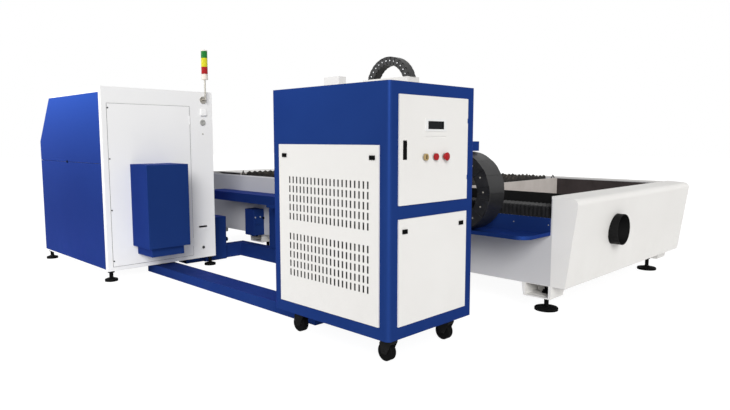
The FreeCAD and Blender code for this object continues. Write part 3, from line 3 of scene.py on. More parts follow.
import bmesh
import bpy
import numpy as np
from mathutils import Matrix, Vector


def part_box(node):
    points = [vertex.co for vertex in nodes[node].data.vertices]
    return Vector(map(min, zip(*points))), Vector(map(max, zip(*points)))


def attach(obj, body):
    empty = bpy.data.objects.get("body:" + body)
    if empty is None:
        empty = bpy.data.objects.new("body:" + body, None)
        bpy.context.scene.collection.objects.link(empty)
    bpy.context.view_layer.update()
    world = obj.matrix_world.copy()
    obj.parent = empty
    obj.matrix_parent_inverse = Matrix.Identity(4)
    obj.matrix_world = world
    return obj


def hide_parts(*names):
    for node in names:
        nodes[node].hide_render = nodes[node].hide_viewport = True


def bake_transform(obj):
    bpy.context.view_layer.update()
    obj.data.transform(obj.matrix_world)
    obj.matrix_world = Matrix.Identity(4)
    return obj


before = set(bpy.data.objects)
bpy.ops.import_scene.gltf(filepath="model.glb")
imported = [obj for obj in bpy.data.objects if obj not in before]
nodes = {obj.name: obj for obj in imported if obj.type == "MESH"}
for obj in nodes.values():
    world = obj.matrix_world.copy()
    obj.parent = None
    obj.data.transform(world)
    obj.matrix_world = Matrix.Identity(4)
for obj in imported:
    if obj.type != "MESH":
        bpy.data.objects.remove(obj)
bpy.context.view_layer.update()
print("frame loaded:", len(nodes), "nodes")

# in every function p is the settings dictionary of what it makes; lengths are metres and angles radians,
# apart from the camera's lens and sensor in millimetres
camera = {"place": (4.345, -4.190, 1.2555), "turn": 0.7788, "down": 0.1078, "lens": 29.97, "sensor": 36.0,
          "sight": 100.0}


def makeCamera(p):
    data = bpy.data.cameras.new("camera")
    data.lens = p["lens"]
    data.sensor_width = p["sensor"]
    data.clip_end = p["sight"]
    eye = bpy.data.objects.new("camera", data)
    eye.location = p["place"]
    eye.rotation_euler = (math.pi / 2 - p["down"], 0.0, p["turn"])
    bpy.context.scene.collection.objects.link(eye)
    bpy.context.scene.camera = eye


makeCamera(camera)


class Wire:
    # one output of a shader node; sums, differences and products of wires and numbers add Math nodes
    def __init__(self, tree, socket=None):
        self.tree = tree
        self.socket = socket

    def node(self, kind, settings=None, sockets=None, out=0):
        # any node: its settings first, then a number, a colour or a wire for each socket
        made = self.tree.nodes.new(kind)
        for key, value in (settings or {}).items():
            setattr(made, key, value)
        for key, value in (sockets or {}).items():
            if isinstance(value, Wire):
                self.tree.links.new(value.socket, made.inputs[key])
            else:
                made.inputs[key].default_value = value
        return Wire(self.tree, made.outputs[out])

    def math(self, operation, a, b=0.0, clamp=False):
        return self.node("ShaderNodeMath", {"operation": operation, "use_clamp": clamp}, {0: a, 1: b})

    def __add__(self, other):
        return self.math("ADD", self, other)

    def __sub__(self, other):
        return self.math("SUBTRACT", self, other)

    def __rsub__(self, other):
        return self.math("SUBTRACT", other, self)

    def __mul__(self, other):
        return self.math("MULTIPLY", self, other)

    __radd__ = __add__
    __rmul__ = __mul__

    def between(self, low, high):
        # 0 below low, 1 above high, straight between; low may be the larger
        return self.math("MULTIPLY", self - low, 1.0 / (high - low), True)

    def blendColour(self, first, second):
        # first where the mask is 0, second where it is 1; inputs 6 and 7 and output 2 are for colours
        pad = [value if isinstance(value, Wire) else (*value, 1.0) for value in (first, second)]
        return self.node("ShaderNodeMix", {"data_type": "RGBA"}, {0: self, 6: pad[0], 7: pad[1]}, 2)

    def noise(self, where, scale, detail=2.0, rough=0.5):
        sockets = {"Vector": where, "Scale": scale, "Detail": detail, "Roughness": rough}
        return self.node("ShaderNodeTexNoise", None, sockets)

    def part(self, index):
        # one coordinate of a vector
        return self.node("ShaderNodeSeparateXYZ", None, {0: self}, index)


# soft-edged patches: scale, detail and roughness of the noise, then its values that become 0 and 1
clouds = {
    "dust": (9.0, 4.0, 0.5, 0.35, 0.75),
    "troughTone": (5.0, 5.0, 0.6, 0.3, 0.8),
    "soot": (7.0, 5.0, 0.6, 0.3, 0.75),
    "hollows": (14.0, 4.0, 0.5, 0.4, 0.75),
    "stain": (6.0, 4.0, 0.5, 0.45, 0.75),
    "heat": (16.0, 3.0, 0.5, 0.42, 0.7),
    "rub": (22.0, 4.0, 0.5, 0.4, 0.8),
}


class Finish:
    # a material with its surface shader, object coordinates and helpers for patches and bumps
    def __init__(self, name):
        self.material = bpy.data.materials.new(name)
        self.material.use_nodes = True
        self.tree = self.material.node_tree
        self.surface = self.tree.nodes["Principled BSDF"]
        self.net = Wire(self.tree)
        self.place = self.net.node("ShaderNodeTexCoord", None, None, "Object")
        self.height = self.place.part(2)

    def set(self, **values):
        # a wire, a colour or a number for each socket, whose name is written with _ for its spaces
        for key, value in values.items():
            socket = self.surface.inputs[key.replace("_", " ")]
            if isinstance(value, Wire):
                self.tree.links.new(value.socket, socket)
            elif isinstance(value, tuple):
                socket.default_value = (*value, 1.0)
            else:
                socket.default_value = value
        return self

    def colour(self):
        # the wire that feeds the base colour so far
        return Wire(self.tree, self.surface.inputs["Base Color"].links[0].from_socket)

    def cloud(self, kind):
        scale, detail, rough, low, high = clouds[kind]
        return self.net.noise(self.place, scale, detail, rough).between(low, high)

    def drawn(self, stretch, detail, rough):
        # noise pulled long along the axis with the smallest stretch
        pulled = self.net.node("ShaderNodeMapping", None, {"Vector": self.place, "Scale": stretch})
        return self.net.noise(pulled, 1.0, detail, rough)

    def bump(self, height, depth, strength=1.0, edge=0.0):
        # surface relief in metres; edge rounds sharp edges by that radius in the shading
        sockets = {"Strength": strength, "Distance": depth, "Height": height}
        if edge:
            sockets["Normal"] = self.net.node("ShaderNodeBevel", {"samples": 4}, {"Radius": edge})
        return self.set(Normal=self.net.node("ShaderNodeBump", None, sockets))


def span(name):
    # lowest and highest corner of a CAD node as two arrays
    return [np.array(corner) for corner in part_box(name)]


def dressNode(finish, *names):
    # gives every named CAD node this one material
    for name in names:
        data = nodes[name].data
        data.materials.clear()
        data.materials.append(finish.material)


hair = 0.001  # width of the border between two masked colours

# relief is a bump's depth, its strength and the radius of the rounded edges
whiteLook = {
    "colour": (0.86, 0.855, 0.845), "worn": (0.84, 0.835, 0.825), "driftScale": 1.6, "driftRough": 0.06,
    "dust": (0.55, 0.54, 0.51), "dustTop": 0.55, "dustShare": 0.16, "dustRough": 0.15, "peelScale": 420.0,
    "relief": (0.0004, 0.5, 0.003), "rough": 0.40, "shine": 0.35, "tint": (1.0, 1.0, 1.0), "metal": 0.0,
}
machineLook = dict(whiteLook, colour=(0.775, 0.762, 0.738), worn=(0.75, 0.735, 0.71))
blueLook = dict(
    whiteLook, colour=(0.017, 0.049, 0.210), worn=(0.014, 0.041, 0.184), driftScale=1.3,
    dust=(0.10, 0.14, 0.26), dustTop=0.45, dustShare=0.06, relief=(0.0004, 0.5, 0.004),
    shine=0.03, tint=(0.06, 0.20, 0.90), metal=0.5,
)
blackLook = dict(
    whiteLook, colour=(0.008, 0.008, 0.008), worn=(0.014, 0.014, 0.014), driftScale=4.0,
    dust=(0.08, 0.075, 0.07), dustTop=0.4, dustShare=0.10, peelScale=300.0, relief=(0.0005, 0.5, 0.0015),
    rough=0.42, shine=0.03,
)


def paint(name, p):
    # powder coat: fine orange peel, slight drift of tone, dust low down and duller patches
    f = Finish(name)
    drift = f.net.noise(f.place, p["driftScale"], 3.0)
    peel = f.net.noise(f.place, p["peelScale"], 2.0, 0.6)
    dust = f.height.between(p["dustTop"], 0.0) * f.cloud("dust")
    tone = drift.between(0.3, 0.7).blendColour(p["colour"], p["worn"])
    f.set(Base_Color=(dust * p["dustShare"]).blendColour(tone, p["dust"]))
    f.set(Roughness=p["rough"] + drift * p["driftRough"] + dust * p["dustRough"])
    f.set(Specular_IOR_Level=p["shine"], Specular_Tint=p["tint"], Metallic=p["metal"])
    return f.bump(peel, *p["relief"])


bedLook = dict(
    machineLook, plate=(0.545, 0.54, 0.545), plateTop=0.840, troughPale=(0.58, 0.54, 0.51),
    troughDeep=(0.46, 0.42, 0.39), troughHeights=(0.3, 0.8525), past=0.02, skin=0.002,
)


def dustedBed(name, p):
    # white brackets and top rails, grey side plates between two heights, and a darker, mottled grey-brown on
    # every face of the trough, from a little before the slats' frame to the end of the open compartment
    f = paint(name, p)
    skin = p["skin"]
    foot = span("duct_end_housing")[0][2] + skin
    plate = f.height.between(foot, foot + hair) * f.height.between(p["plateTop"], p["plateTop"] - hair)
    coat = plate.blendColour(f.colour(), p["plate"])
    low, high = span("compartment_lining")
    start = span("slat_carrier")[0][0] - p["past"]
    trough = ((start, high[0] + skin), (low[1] - skin, high[1] + skin), p["troughHeights"])
    inside = 1.0
    for axis, (first, last) in enumerate(trough):
        along = f.place.part(axis)
        inside = along.between(first, first + hair) * along.between(last, last - hair) * inside
    # the trough's faces take a darker, mottled grey-brown
    troughTone = f.cloud("troughTone").blendColour(p["troughPale"], p["troughDeep"])
    return f.set(Base_Color=inside.blendColour(coat, troughTone))


# the slot colour is painted shade: the near black of the slots' walls inside the cabinet
slotLook = dict(machineLook, slot=(0.004, 0.004, 0.004), rim=0.03, skin=(0.0003, 0.0005))


def slottedPanel(name, p):
    # the white coat, and painted shade in the slots: within the rim all that lies deeper than the front face
    # is painted dark
    f = paint(name, p)
    low, high = span("vented_panel")
    slotShade = f.place.part(1).between(low[1] + p["skin"][0], low[1] + p["skin"][1])
    for axis in (0, 2):
        along = f.place.part(axis)
        first, last = low[axis] + p["rim"], high[axis] - p["rim"]
        slotShade = along.between(first, first + hair) * slotShade
        slotShade = along.between(last, last - hair) * slotShade
    return f.set(Base_Color=slotShade.blendColour(f.colour(), p["slot"]))


# the paler blue here is painted light on the console's sides, growing towards their upper edges
sideLook = dict(blueLook, driftScale=0.9, paintedLight=(0.034, 0.100, 0.420), paintedLightFrom=0.4)


def paintedLightBlue(name, p):
    # the blue coat on the console's sides, with painted light: paler towards their upper edges, as the light
    # falls more strongly on their tops
    f = paint(name, p)
    low, high = span("console_side_panels")
    rise = f.height.between(low[2] + p["paintedLightFrom"], high[2])
    return f.set(Base_Color=(rise * rise).blendColour(f.colour(), p["paintedLight"]))


# the paint colour is painted shade: the near black of the near half of the lining
liningLook = {
    "paint": (0.006, 0.006, 0.006), "sootPale": (0.045, 0.036, 0.036), "sootDeep": (0.026, 0.021, 0.021),
    "rough": 0.5, "sootRough": 0.2, "shine": 0.15, "grain": 260.0, "relief": (0.0004, 0.4, 0.001),
}


def sootAndShadeSteel(name, p):
    # lining plates of the open compartment: near black on the near half as painted shade, brown soot on the
    # far half
    f = Finish(name)
    low, high = span("compartment_lining")
    middle = (low[1] + high[1]) / 2
    soot = f.cloud("soot")
    brown = soot.blendColour(p["sootPale"], p["sootDeep"])
    far = f.place.part(1).between(middle, middle + hair)
    f.set(Base_Color=far.blendColour(p["paint"], brown), Roughness=p["rough"] + soot * p["sootRough"])
    f.set(Specular_IOR_Level=p["shine"])
    return f.bump(f.net.noise(f.place, p["grain"], 3.0), *p["relief"])


mouldedLook = {"grain": 900.0, "dusty": 0.3, "paler": 1.5, "lift": 0.02, "shine": 0.35, "dustRough": 0.12,
               "depth": 0.0002, "strength": 0.4, "edge": 0.001}


def moulded(name, colour, rough, **changes):
    # moulded plastic or rubber: leather-like grain and a little pale dust in its hollows
    p = dict(mouldedLook, **changes)
    f = Finish(name)
    dust = f.cloud("hollows")
    pale = tuple(min(1.0, share * p["paler"] + p["lift"]) for share in colour)
    f.set(Base_Color=(dust * p["dusty"]).blendColour(colour, pale), Roughness=rough + dust * p["dustRough"])
    f.set(Specular_IOR_Level=p["shine"])
    return f.bump(f.net.noise(f.place, p["grain"], 3.0, 0.6), p["depth"], p["strength"], p["edge"])


brushedLook = {"metal": 1.0, "darker": 0.72, "stained": 0.5, "linesRough": 0.14,
               "relief": (0.0002, 0.35, 0.0008)}


def brushed(name, colour, rough, stretch, **changes):
    # ground or drawn metal with darker stains
    p = dict(brushedLook, **changes)
    f = Finish(name)
    lines = f.drawn(stretch, 4.0, 0.7)
    dark = tuple(share * p["darker"] for share in colour)
    f.set(Base_Color=(f.cloud("stain") * p["stained"]).blendColour(colour, dark))
    f.set(Metallic=p["metal"], Roughness=rough + lines * p["linesRough"])
    return f.bump(lines, *p["relief"])


zincLook = {"cells": 90.0, "dull": (0.50, 0.51, 0.52), "bright": (0.68, 0.69, 0.70), "rough": 0.34,
            "cellRough": 0.16, "relief": (0.0001, 0.3, 0.001)}


def spangled(name, p):
    # hot-dip zinc: cells of slightly different greys
    f = Finish(name)
    sockets = {"Vector": f.place, "Scale": p["cells"]}
    cells = f.net.node("ShaderNodeTexVoronoi", None, sockets, "Color").part(0)
    f.set(Base_Color=cells.blendColour(p["dull"], p["bright"]), Metallic=1.0)
    f.set(Roughness=p["rough"] + cells * p["cellRough"])
    return f.bump(cells, *p["relief"])


slatLook = {
    "dark": (0.010, 0.0095, 0.009), "grey": (0.042, 0.038, 0.034), "heat": (0.17, 0.14, 0.11),
    "heatShare": 0.6, "fade": (0.030, 0.002), "grain": 38.0, "metal": 0.45, "heatMetal": 0.3,
    "rough": 0.66, "heatRough": -0.15, "relief": (0.0012, 0.5),
}


def burntSteel(name, p):
    # cutting slats: black scale, with patches of brown heat tint along their upper edges
    f = Finish(name)
    top = span("cutting_slats")[1][2]
    scale = f.net.noise(f.place, p["grain"], 6.0, 0.65)
    heat = f.height.between(top - p["fade"][0], top - p["fade"][1]) * f.cloud("heat")
    tone = scale.between(0.35, 0.7).blendColour(p["dark"], p["grey"])
    f.set(Base_Color=(heat * p["heatShare"]).blendColour(tone, p["heat"]))
    f.set(Metallic=p["metal"] + heat * p["heatMetal"], Roughness=p["rough"] + heat * p["heatRough"])
    return f.bump(scale, *p["relief"])


lensLook = {"ribs": 36, "hollow": 0.55, "glow": 0.12, "rough": 0.16, "ribRough": 0.08, "coat": 0.08,
            "coatRough": 0.05, "shine": 0.15, "relief": (0.0012, 0.6, 0.001)}


def lensPlastic(name, colour, p):
    # lamp section: upright prisms moulded inside a glossy translucent wall, lit softly from within
    f = Finish(name)
    low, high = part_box(name)
    middle = (low + high) / 2
    turn = f.net.math("ARCTAN2", f.place.part(1) - middle.y, f.place.part(0) - middle.x)
    ribs = f.net.math("PINGPONG", turn * (p["ribs"] / math.pi), 1.0)
    deep = tuple(share * p["hollow"] for share in colour)
    glow = ribs.blendColour(deep, colour)
    f.set(Base_Color=glow, Emission_Color=glow, Emission_Strength=p["glow"])
    f.set(Roughness=p["rough"] + ribs * p["ribRough"], Specular_IOR_Level=p["shine"])
    f.set(Coat_Weight=p["coat"], Coat_Roughness=p["coatRough"])
    return f.bump(ribs, *p["relief"])


towerLook = {"steel": (0.42, 0.40, 0.36), "plastic": (0.74, 0.66, 0.58), "base": 0.055, "rough": 0.30,
             "linesRough": 0.12, "stretch": (400.0, 400.0, 20.0), "relief": (0.0002, 0.3, 0.0008)}


def towerFinish(name, p):
    # drawn steel tube, and cream moulded plastic from the lamps' base upwards
    f = Finish(name)
    split = span("lens_red")[0][2] - p["base"]
    lines = f.drawn(p["stretch"], 3.0, 0.6)
    plastic = f.height.between(split, split + hair / 2)
    f.set(Base_Color=plastic.blendColour(p["steel"], p["plastic"]), Metallic=1.0 - plastic)
    f.set(Roughness=p["rough"] + lines * p["linesRough"])
    return f.bump(lines, *p["relief"])


# the pale ridge colour is a painted highlight along the tops of the folds' ridges
clothLook = {
    "black": (0.005, 0.005, 0.0055), "rubbed": (0.028, 0.028, 0.030), "ridge": (0.065, 0.065, 0.065),
    "rubShare": 0.5, "fade": (0.010, 0.001), "weave": 260.0, "rough": 0.58, "rubRough": 0.2, "sheen": 0.05,
    "shine": 0.1, "relief": (0.0003, 0.4),
}


def foldCloth(name, p):
    # bellows: coated cloth with a fine weave, greyer in worn patches, and a painted highlight, palest along
    # the ridges' tops
    f = Finish(name)
    top = span("bellows_right")[1][2]
    weave = {"Vector": f.place, "Scale": p["weave"]}
    bands = [f.net.node("ShaderNodeTexWave", {"wave_type": "BANDS", "bands_direction": axis}, weave)
             for axis in "XZ"]
    rub = f.cloud("rub")
    # painted highlight: pale grey on the highest few millimetres, where the ridges' tops catch the light
    ridge = f.height.between(top - p["fade"][0], top - p["fade"][1])
    body = (rub * p["rubShare"]).blendColour(p["black"], p["rubbed"])
    f.set(Base_Color=ridge.blendColour(body, p["ridge"]), Roughness=p["rough"] + rub * p["rubRough"])
    f.set(Sheen_Weight=p["sheen"], Specular_IOR_Level=p["shine"])
    return f.bump(bands[0] + bands[1], *p["relief"])


displayLook = {
    "bezel": (0.76, 0.76, 0.75), "window": (0.008, 0.009, 0.010), "rimY": 0.024, "rimZ": 0.012, "rough": 0.34,
    "smoother": 0.2, "shine": 0.06, "grain": 900.0, "relief": (0.0001, 0.3, 0.001),
}


def displayPanel(name, p):
    # pale bezel with a dark window, masked by the distance from the module's middle
    f = Finish(name)
    low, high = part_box(name)
    middle = (low + high) / 2
    across = f.net.math("ABSOLUTE", f.place.part(1) - middle.y)
    up = f.net.math("ABSOLUTE", f.place.part(2) - middle.z)
    halfY = (high.y - low.y) / 2 - p["rimY"]
    halfZ = (high.z - low.z) / 2 - p["rimZ"]
    window = across.between(halfY + hair, halfY) * up.between(halfZ + hair, halfZ)
    f.set(Base_Color=window.blendColour(p["bezel"], p["window"]))
    f.set(Roughness=p["rough"] - window * p["smoother"], Specular_IOR_Level=p["shine"])
    return f.bump(f.net.noise(f.place, p["grain"]), *p["relief"])


white = paint("white_powder_coat", whiteLook)
blue = paint("blue_powder_coat", blueLook)
machineWhite = paint("machine_white_coat", machineLook)
black = paint("black_paint", blackLook)
chainPlastic = moulded("chain_plastic", (0.012, 0.012, 0.0125), 0.44)
softRubber = moulded("rubber", (0.005, 0.005, 0.005), 0.58, grain=600.0, dusty=0.1, shine=0.03)
sealRubber = moulded("grey_seal", (0.12, 0.12, 0.12), 0.6, grain=600.0, shine=0.1)
trimPlastic = moulded("black_trim_plastic", (0.003, 0.003, 0.003), 0.42, dusty=0.05, shine=0.03)
redPlastic = moulded("red_plastic", (0.34, 0.004, 0.007), 0.3, grain=1400.0, dusty=0.05, shine=0.2,
                     edge=0.002)
greyPlastic = moulded("grey_plastic", (0.34, 0.34, 0.32), 0.42)
keyPlastic = moulded("key_plastic", (0.05, 0.05, 0.052), 0.5, grain=1600.0, edge=0.0006)
darkGlass = moulded("dark_glass", (0.010, 0.011, 0.013), 0.08, grain=40.0, dusty=0.05, shine=0.5,
                    edge=0.0005)
goldMetal = brushed("gold_ring", (0.55, 0.40, 0.19), 0.34, (300.0, 300.0, 300.0))
groundSteel = brushed("ground_steel", (0.58, 0.58, 0.58), 0.26, (6.0, 700.0, 700.0))
satinAluminium = brushed("satin_aluminium", (0.66, 0.67, 0.68), 0.34, (500.0, 500.0, 12.0))
copperAlloy = brushed("copper_tip", (0.70, 0.40, 0.26), 0.26, (300.0, 300.0, 40.0))
pinSteel = brushed("pin_heads", (0.36, 0.34, 0.29), 0.42, (200.0, 200.0, 200.0), metal=0.5)
screwSteel = brushed("screw_heads", (0.60, 0.61, 0.62), 0.30, (300.0, 300.0, 300.0))
zinc = spangled("zinc_plate", zincLook)
burnt = burntSteel("burnt_steel", slatLook)
cloth = foldCloth("bellows_cloth", clothLook)
print("finishes made")

casters = range(1, 5)
latches = [f"{side}_latch_{k}" for side in ("side", "cover") for k in (1, 2)]
dressNode(dustedBed("bed_coat", bedLook), "bed_frame")
dressNode(sootAndShadeSteel("lining_soot_and_painted_shade", liningLook), "compartment_lining")
dressNode(machineWhite, "duct_end_housing", "plain_end_housing", "gantry_columns", "gantry_beam")
dressNode(machineWhite, "carriage_housing", "lower_cover", "upper_door")
dressNode(slottedPanel("slotted_white_coat_painted_shade", slotLook), "vented_panel")
dressNode(white, "console_cabinet", "rear_door", "keyboard_drawer")
dressNode(blue, "cable_tray", "floor_troughs", "junction_box", "chain_arm", "door_cooler", "chiller_cabinet")
dressNode(paintedLightBlue("blue_side_painted_light", sideLook), "console_side_panels")
dressNode(black, "exhaust_duct", *[f"caster_fork_{k}" for k in casters])
dressNode(burnt, "slat_carrier", "cutting_slats")
dressNode(groundSteel, "linear_guides")
dressNode(cloth, "bellows_right", "bellows_left")
dressNode(chainPlastic, *[f"chain_{side}_{part}" for side in ("lower", "upper") for part in ("run", "bend")])
dressNode(chainPlastic, "arch_chain")
dressNode(softRubber, "levelling_feet", *[f"caster_wheel_{k}" for k in casters])
dressNode(trimPlastic, "door_handle", "monitor", *latches)
dressNode(satinAluminium, "cutting_head")
dressNode(towerFinish("tower_pole_and_base", towerLook), "signal_tower")
dressNode(copperAlloy, "nozzle")
dressNode(zinc, "electrical_plate", "laser_source", "cooling_unit")
dressNode(redPlastic, "push_button", "mushroom_button", "console_stop_button")
dressNode(goldMetal, "key_switch")
dressNode(displayPanel("door_display", displayLook), "door_display")
lensTints = {
    "lens_red": (0.42, 0.008, 0.010),
    "lens_yellow": (0.72, 0.68, 0.02),
    "lens_green": (0.006, 0.20, 0.025),
}
for lensName, tint in lensTints.items():
    dressNode(lensPlastic(lensName, tint, lensLook), lensName)
print("nodes dressed")

plusX = (1.0, 0.0, 0.0)
plusY = (0.0, 1.0, 0.0)
minusY = (0.0, -1.0, 0.0)
plusZ = (0.0, 0.0, 1.0)
minusZ = (0.0, 0.0, -1.0)
sunk = 0.001  # most fittings start this far inside what they sit on
crease = math.radians(35)  # faces that meet at more than this keep a crisp edge
arcPoints = 9  # points along a quarter arc


class Mould:
    # gathers grids of points, given as arrays of rows x columns x 3, into one mesh
    def __init__(self):
        self.points = []
        self.faces = []
        self.count = 0

    def grid(self, points, closed=False, caps=False):
        # quads between neighbouring rows; closed joins the last column to the first, caps fill both end rows
        rows, columns = points.shape[:2]
        index = self.count + np.arange(rows * columns).reshape(rows, columns)
        ends = [index[0, ::-1].tolist(), index[-1].tolist()]
        if closed:
            index = np.hstack([index, index[:, :1]])
        quads = np.stack([index[:-1, :-1], index[:-1, 1:], index[1:, 1:], index[1:, :-1]], -1)
        self.faces += quads.reshape(-1, 4).tolist() + (ends if caps else [])
        self.points.append(points.reshape(-1, 3))
        self.count += rows * columns

    def box(self, low, high, warp=None, cuts=1):
        # x runs from low to high in equal cuts, with the four corners of the Y-Z rectangle at each;
        # warp takes the three coordinate arrays and bends the box
        x = np.linspace(low[0], high[0], cuts + 1)[:, None] + np.zeros(4)
        y = np.array([low[1], high[1], high[1], low[1]]) + 0 * x
        z = np.array([low[2], low[2], high[2], high[2]]) + 0 * x
        self.grid(np.stack(warp(x, y, z) if warp else (x, y, z), -1), closed=True, caps=True)

    def turned(self, centre, axis, profile, sides=24):
        # a profile of (distance along the axis, radius) carried once round it:
        # centre + distance * axis + radius * (cos t * across + sin t * other)
        axis = np.array(axis, float)
        across = np.roll(axis, 1)
        other = np.cross(axis, across)
        t = (2 * math.pi * np.arange(sides) / sides)[None, :, None]
        along, radius = np.array(profile, float).T[:, :, None, None]
        circle = radius * (np.cos(t) * across + np.sin(t) * other)
        self.grid(np.array(centre) + along * axis + circle, closed=True, caps=True)

    def make(self, name, finish, slot, body=None, bevel=0.0, smooth=True):
        data = bpy.data.meshes.new(name)
        data.from_pydata(np.concatenate(self.points).tolist(), [], self.faces)
        solid = bmesh.new()
        solid.from_mesh(data)
        bmesh.ops.recalc_face_normals(solid, faces=solid.faces)
        solid.to_mesh(data)
        solid.free()
        data.materials.append(finish.material)
        if smooth:
            data.shade_smooth()
            data.set_sharp_from_angle(angle=crease)
        piece = bpy.data.objects.new(name, data)
        bpy.context.scene.collection.objects.link(piece)
        if bevel:
            soft = piece.modifiers.new("soft edges", "BEVEL")
            soft.width = bevel
            soft.segments = 2
            soft.limit_method = "ANGLE"
        if body:
            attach(piece, body)
        return piece


link = {"side": 0.012, "cover": 0.005, "gap": 0.0003, "step": 0.004, "lap": 0.42, "bevel": 0.0008, "cuts": 4,
        "pinRadius": 0.0065, "pinSunk": 0.002, "pinProud": 0.003, "pinFinish": pinSteel}
noFloor = -1.0  # well below every chain


def addLink(mould, warp, start, stop, section, p):
    # one link between two stations of the chain: a cover inside and outside, and each side plate in two
    # halves, the first set back so that the next link's plate laps over it; a section is the chain's
    # inner and outer face and its near and far side
    inner, outer, near, far = section
    a, b = start + p["gap"], stop - p["gap"]
    lap = a + (b - a) * p["lap"]
    for low, high in ((inner, inner + p["cover"]), (outer - p["cover"], outer)):
        mould.box((a, near + p["step"], low), (b, far - p["step"], high), warp, p["cuts"])
    for face, inwards in ((near, 1), (far, -1)):
        for first, last, back in ((a, lap, p["step"]), (lap, b, 0.0)):
            y1, y2 = sorted((face + inwards * back, face + inwards * (back + p["side"] - p["step"])))
            mould.box((first, y1, inner), (last, y2, outer), warp, p["cuts"])


def straight(x, z):
    # stations are metres along +X from x, heights are added to z
    return lambda s, y, r: (x + s, y, z + r)


def around(x, z, side=1.0, floor=noFloor):
    # stations are angles from +X, upwards for side 1 and downwards for side -1, heights are radii;
    # nothing reaches below the floor
    return lambda s, y, r: (x + r * np.cos(side * s), y, np.maximum(z + r * np.sin(side * s), floor))


def chainPieces(name, warp, stations, section, pinLap, p, floor=noFloor):
    # the links of one stretch, and the round heads of their pins at a share of each link's length
    inner, outer, near, far = section
    radius, proud = p["pinRadius"], p["pinProud"]
    profile = [(-p["pinSunk"], radius), (proud * 0.6, radius), (proud, radius * 0.72)]
    links, heads = Mould(), Mould()
    for start, stop in zip(stations, stations[1:]):
        addLink(links, warp, start, stop, section, p)
        for face, outwards in ((near, minusY), (far, plusY)):
            place = np.array(warp(start + (stop - start) * pinLap, face, (inner + outer) / 2))
            if place[2] > floor + radius:
                heads.turned(place, outwards, profile)
    plates = links.make(name, chainPlastic, "black_plastic", None, p["bevel"])
    return [plates, heads.make(name + "_pins", p["pinFinish"], "black_plastic")]


drag = {"pitch": 0.110, "bendStep": math.pi / 7, "bendLinks": 4, "runLap": 0.12, "bendLap": 0.075}


def dragChain(p):
    # two straight runs, and the bend between them in a lower and an upper quarter
    low, high = span("chain_lower_run")
    upperLow, upperHigh = span("chain_upper_run")
    near, far, bendX = low[1], high[1], high[0]
    band = high[2] - low[2]
    radius = (upperHigh[2] - low[2]) / 2
    runs = (("chain_lower_run", low[0], low[2], ("machine", "chain_lower")),
            ("chain_upper_run", upperLow[0], upperHigh[2] - band, ("gantry", "chain_upper")))
    for name, x, z, bodies in runs:
        stations = np.linspace(0.0, bendX - x, round((bendX - x) / p["pitch"]) + 1)
        section = (0.0, band, near, far)
        pieces = chainPieces(name + "_links", straight(x, z), stations, section, p["runLap"], link)
        for piece in pieces:
            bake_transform(piece)
        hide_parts(name)
    stations = np.minimum(np.arange(p["bendLinks"] + 1) * p["bendStep"], math.pi / 2)
    bent = dict(link, gap=link["gap"] / radius)
    quarters = (("chain_lower", -1.0, 1 - p["bendLap"]), ("chain_upper", 1.0, p["bendLap"]))
    for body, side, lap in quarters:
        warp = around(bendX, low[2] + radius, side)
        section = (radius - band, radius, near, far)
        pieces = chainPieces(body + "_bend_links", warp, stations, section, lap, bent)
        for piece in pieces:
            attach(piece, body)
        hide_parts(body + "_bend")


dragChain(drag)

arch = {"x": 0.175, "z": 1.780, "step": math.radians(11.7), "links": 14, "band": 0.080, "width": 0.100,
        "sunk": 0.002, "pinRadius": 0.0075, "pinLap": 0.5}


def archChain(p):
    # links standing in a half ring, cut off at the top of the carriage's housing
    top = span("arch_chain")[1]
    floor = span("carriage_housing")[1][2] - p["sunk"]
    outer = top[2] - p["z"]
    section = (outer - p["band"], outer, top[1] - p["width"], top[1])
    stations = math.pi / 2 + p["step"] * (np.arange(p["links"] + 1) - p["links"] / 2)
    bent = dict(link, gap=link["gap"] / outer, pinRadius=p["pinRadius"], pinFinish=screwSteel)
    warp = around(p["x"], p["z"], 1.0, floor)
    pieces = chainPieces("arch_chain_links", warp, stations, section, p["pinLap"], bent, floor)
    for piece in pieces:
        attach(piece, "carriage")
    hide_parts("arch_chain")


archChain(arch)
print("chains made")

fold = {"pitch": 0.033, "depth": 0.012, "ridge": 0.10, "corner": 0.016, "width": 0.185, "thick": 0.0015}


def bellowsGrid(x1, x2, y1, y2, z1, z2, p):
    # an upturned channel: at each fold's valley the outline moves inwards by the fold depth, and at both
    # edges of its ridge it doesn't
    count = round((x2 - x1) / p["pitch"])
    shares = np.array([0.0, 0.5 - p["ridge"], 0.5 + p["ridge"]])
    x = x1 + (x2 - x1) / count * (np.arange(count)[:, None] + shares).ravel()
    x = np.append(x, x2)[:, None] + np.zeros(6)
    deep = p["depth"] * np.append(np.tile([1.0, 0.0, 0.0], count), 1.0)[:, None]
    corner = p["corner"]
    left, right, top = y1 + deep, y2 - deep, z2 - deep
    y = np.hstack([left, left, left + corner, right - corner, right, right])
    z = np.hstack([z1 + 0 * deep, top - corner, top, top, top - corner, z1 + 0 * deep])
    return np.stack([x, y, z], -1)


def bellows(name, p):
    # one bellows over the near rail and one over the far rail, joined in one piece
    low, high = span(name)
    mould = Mould()
    for y in (low[1], high[1] - p["width"]):
        mould.grid(bellowsGrid(low[0], high[0], y, y + p["width"], low[2], high[2], p))
    piece = mould.make(name + "_folds", cloth, "black_fabric", smooth=False)
    wall = piece.modifiers.new("cloth thickness", "SOLIDIFY")
    wall.thickness = p["thick"]
    wall.offset = -1.0
    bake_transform(piece)
    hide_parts(name)


bellows("bellows_left", fold)
bellows("bellows_right", fold)
print("bellows made")


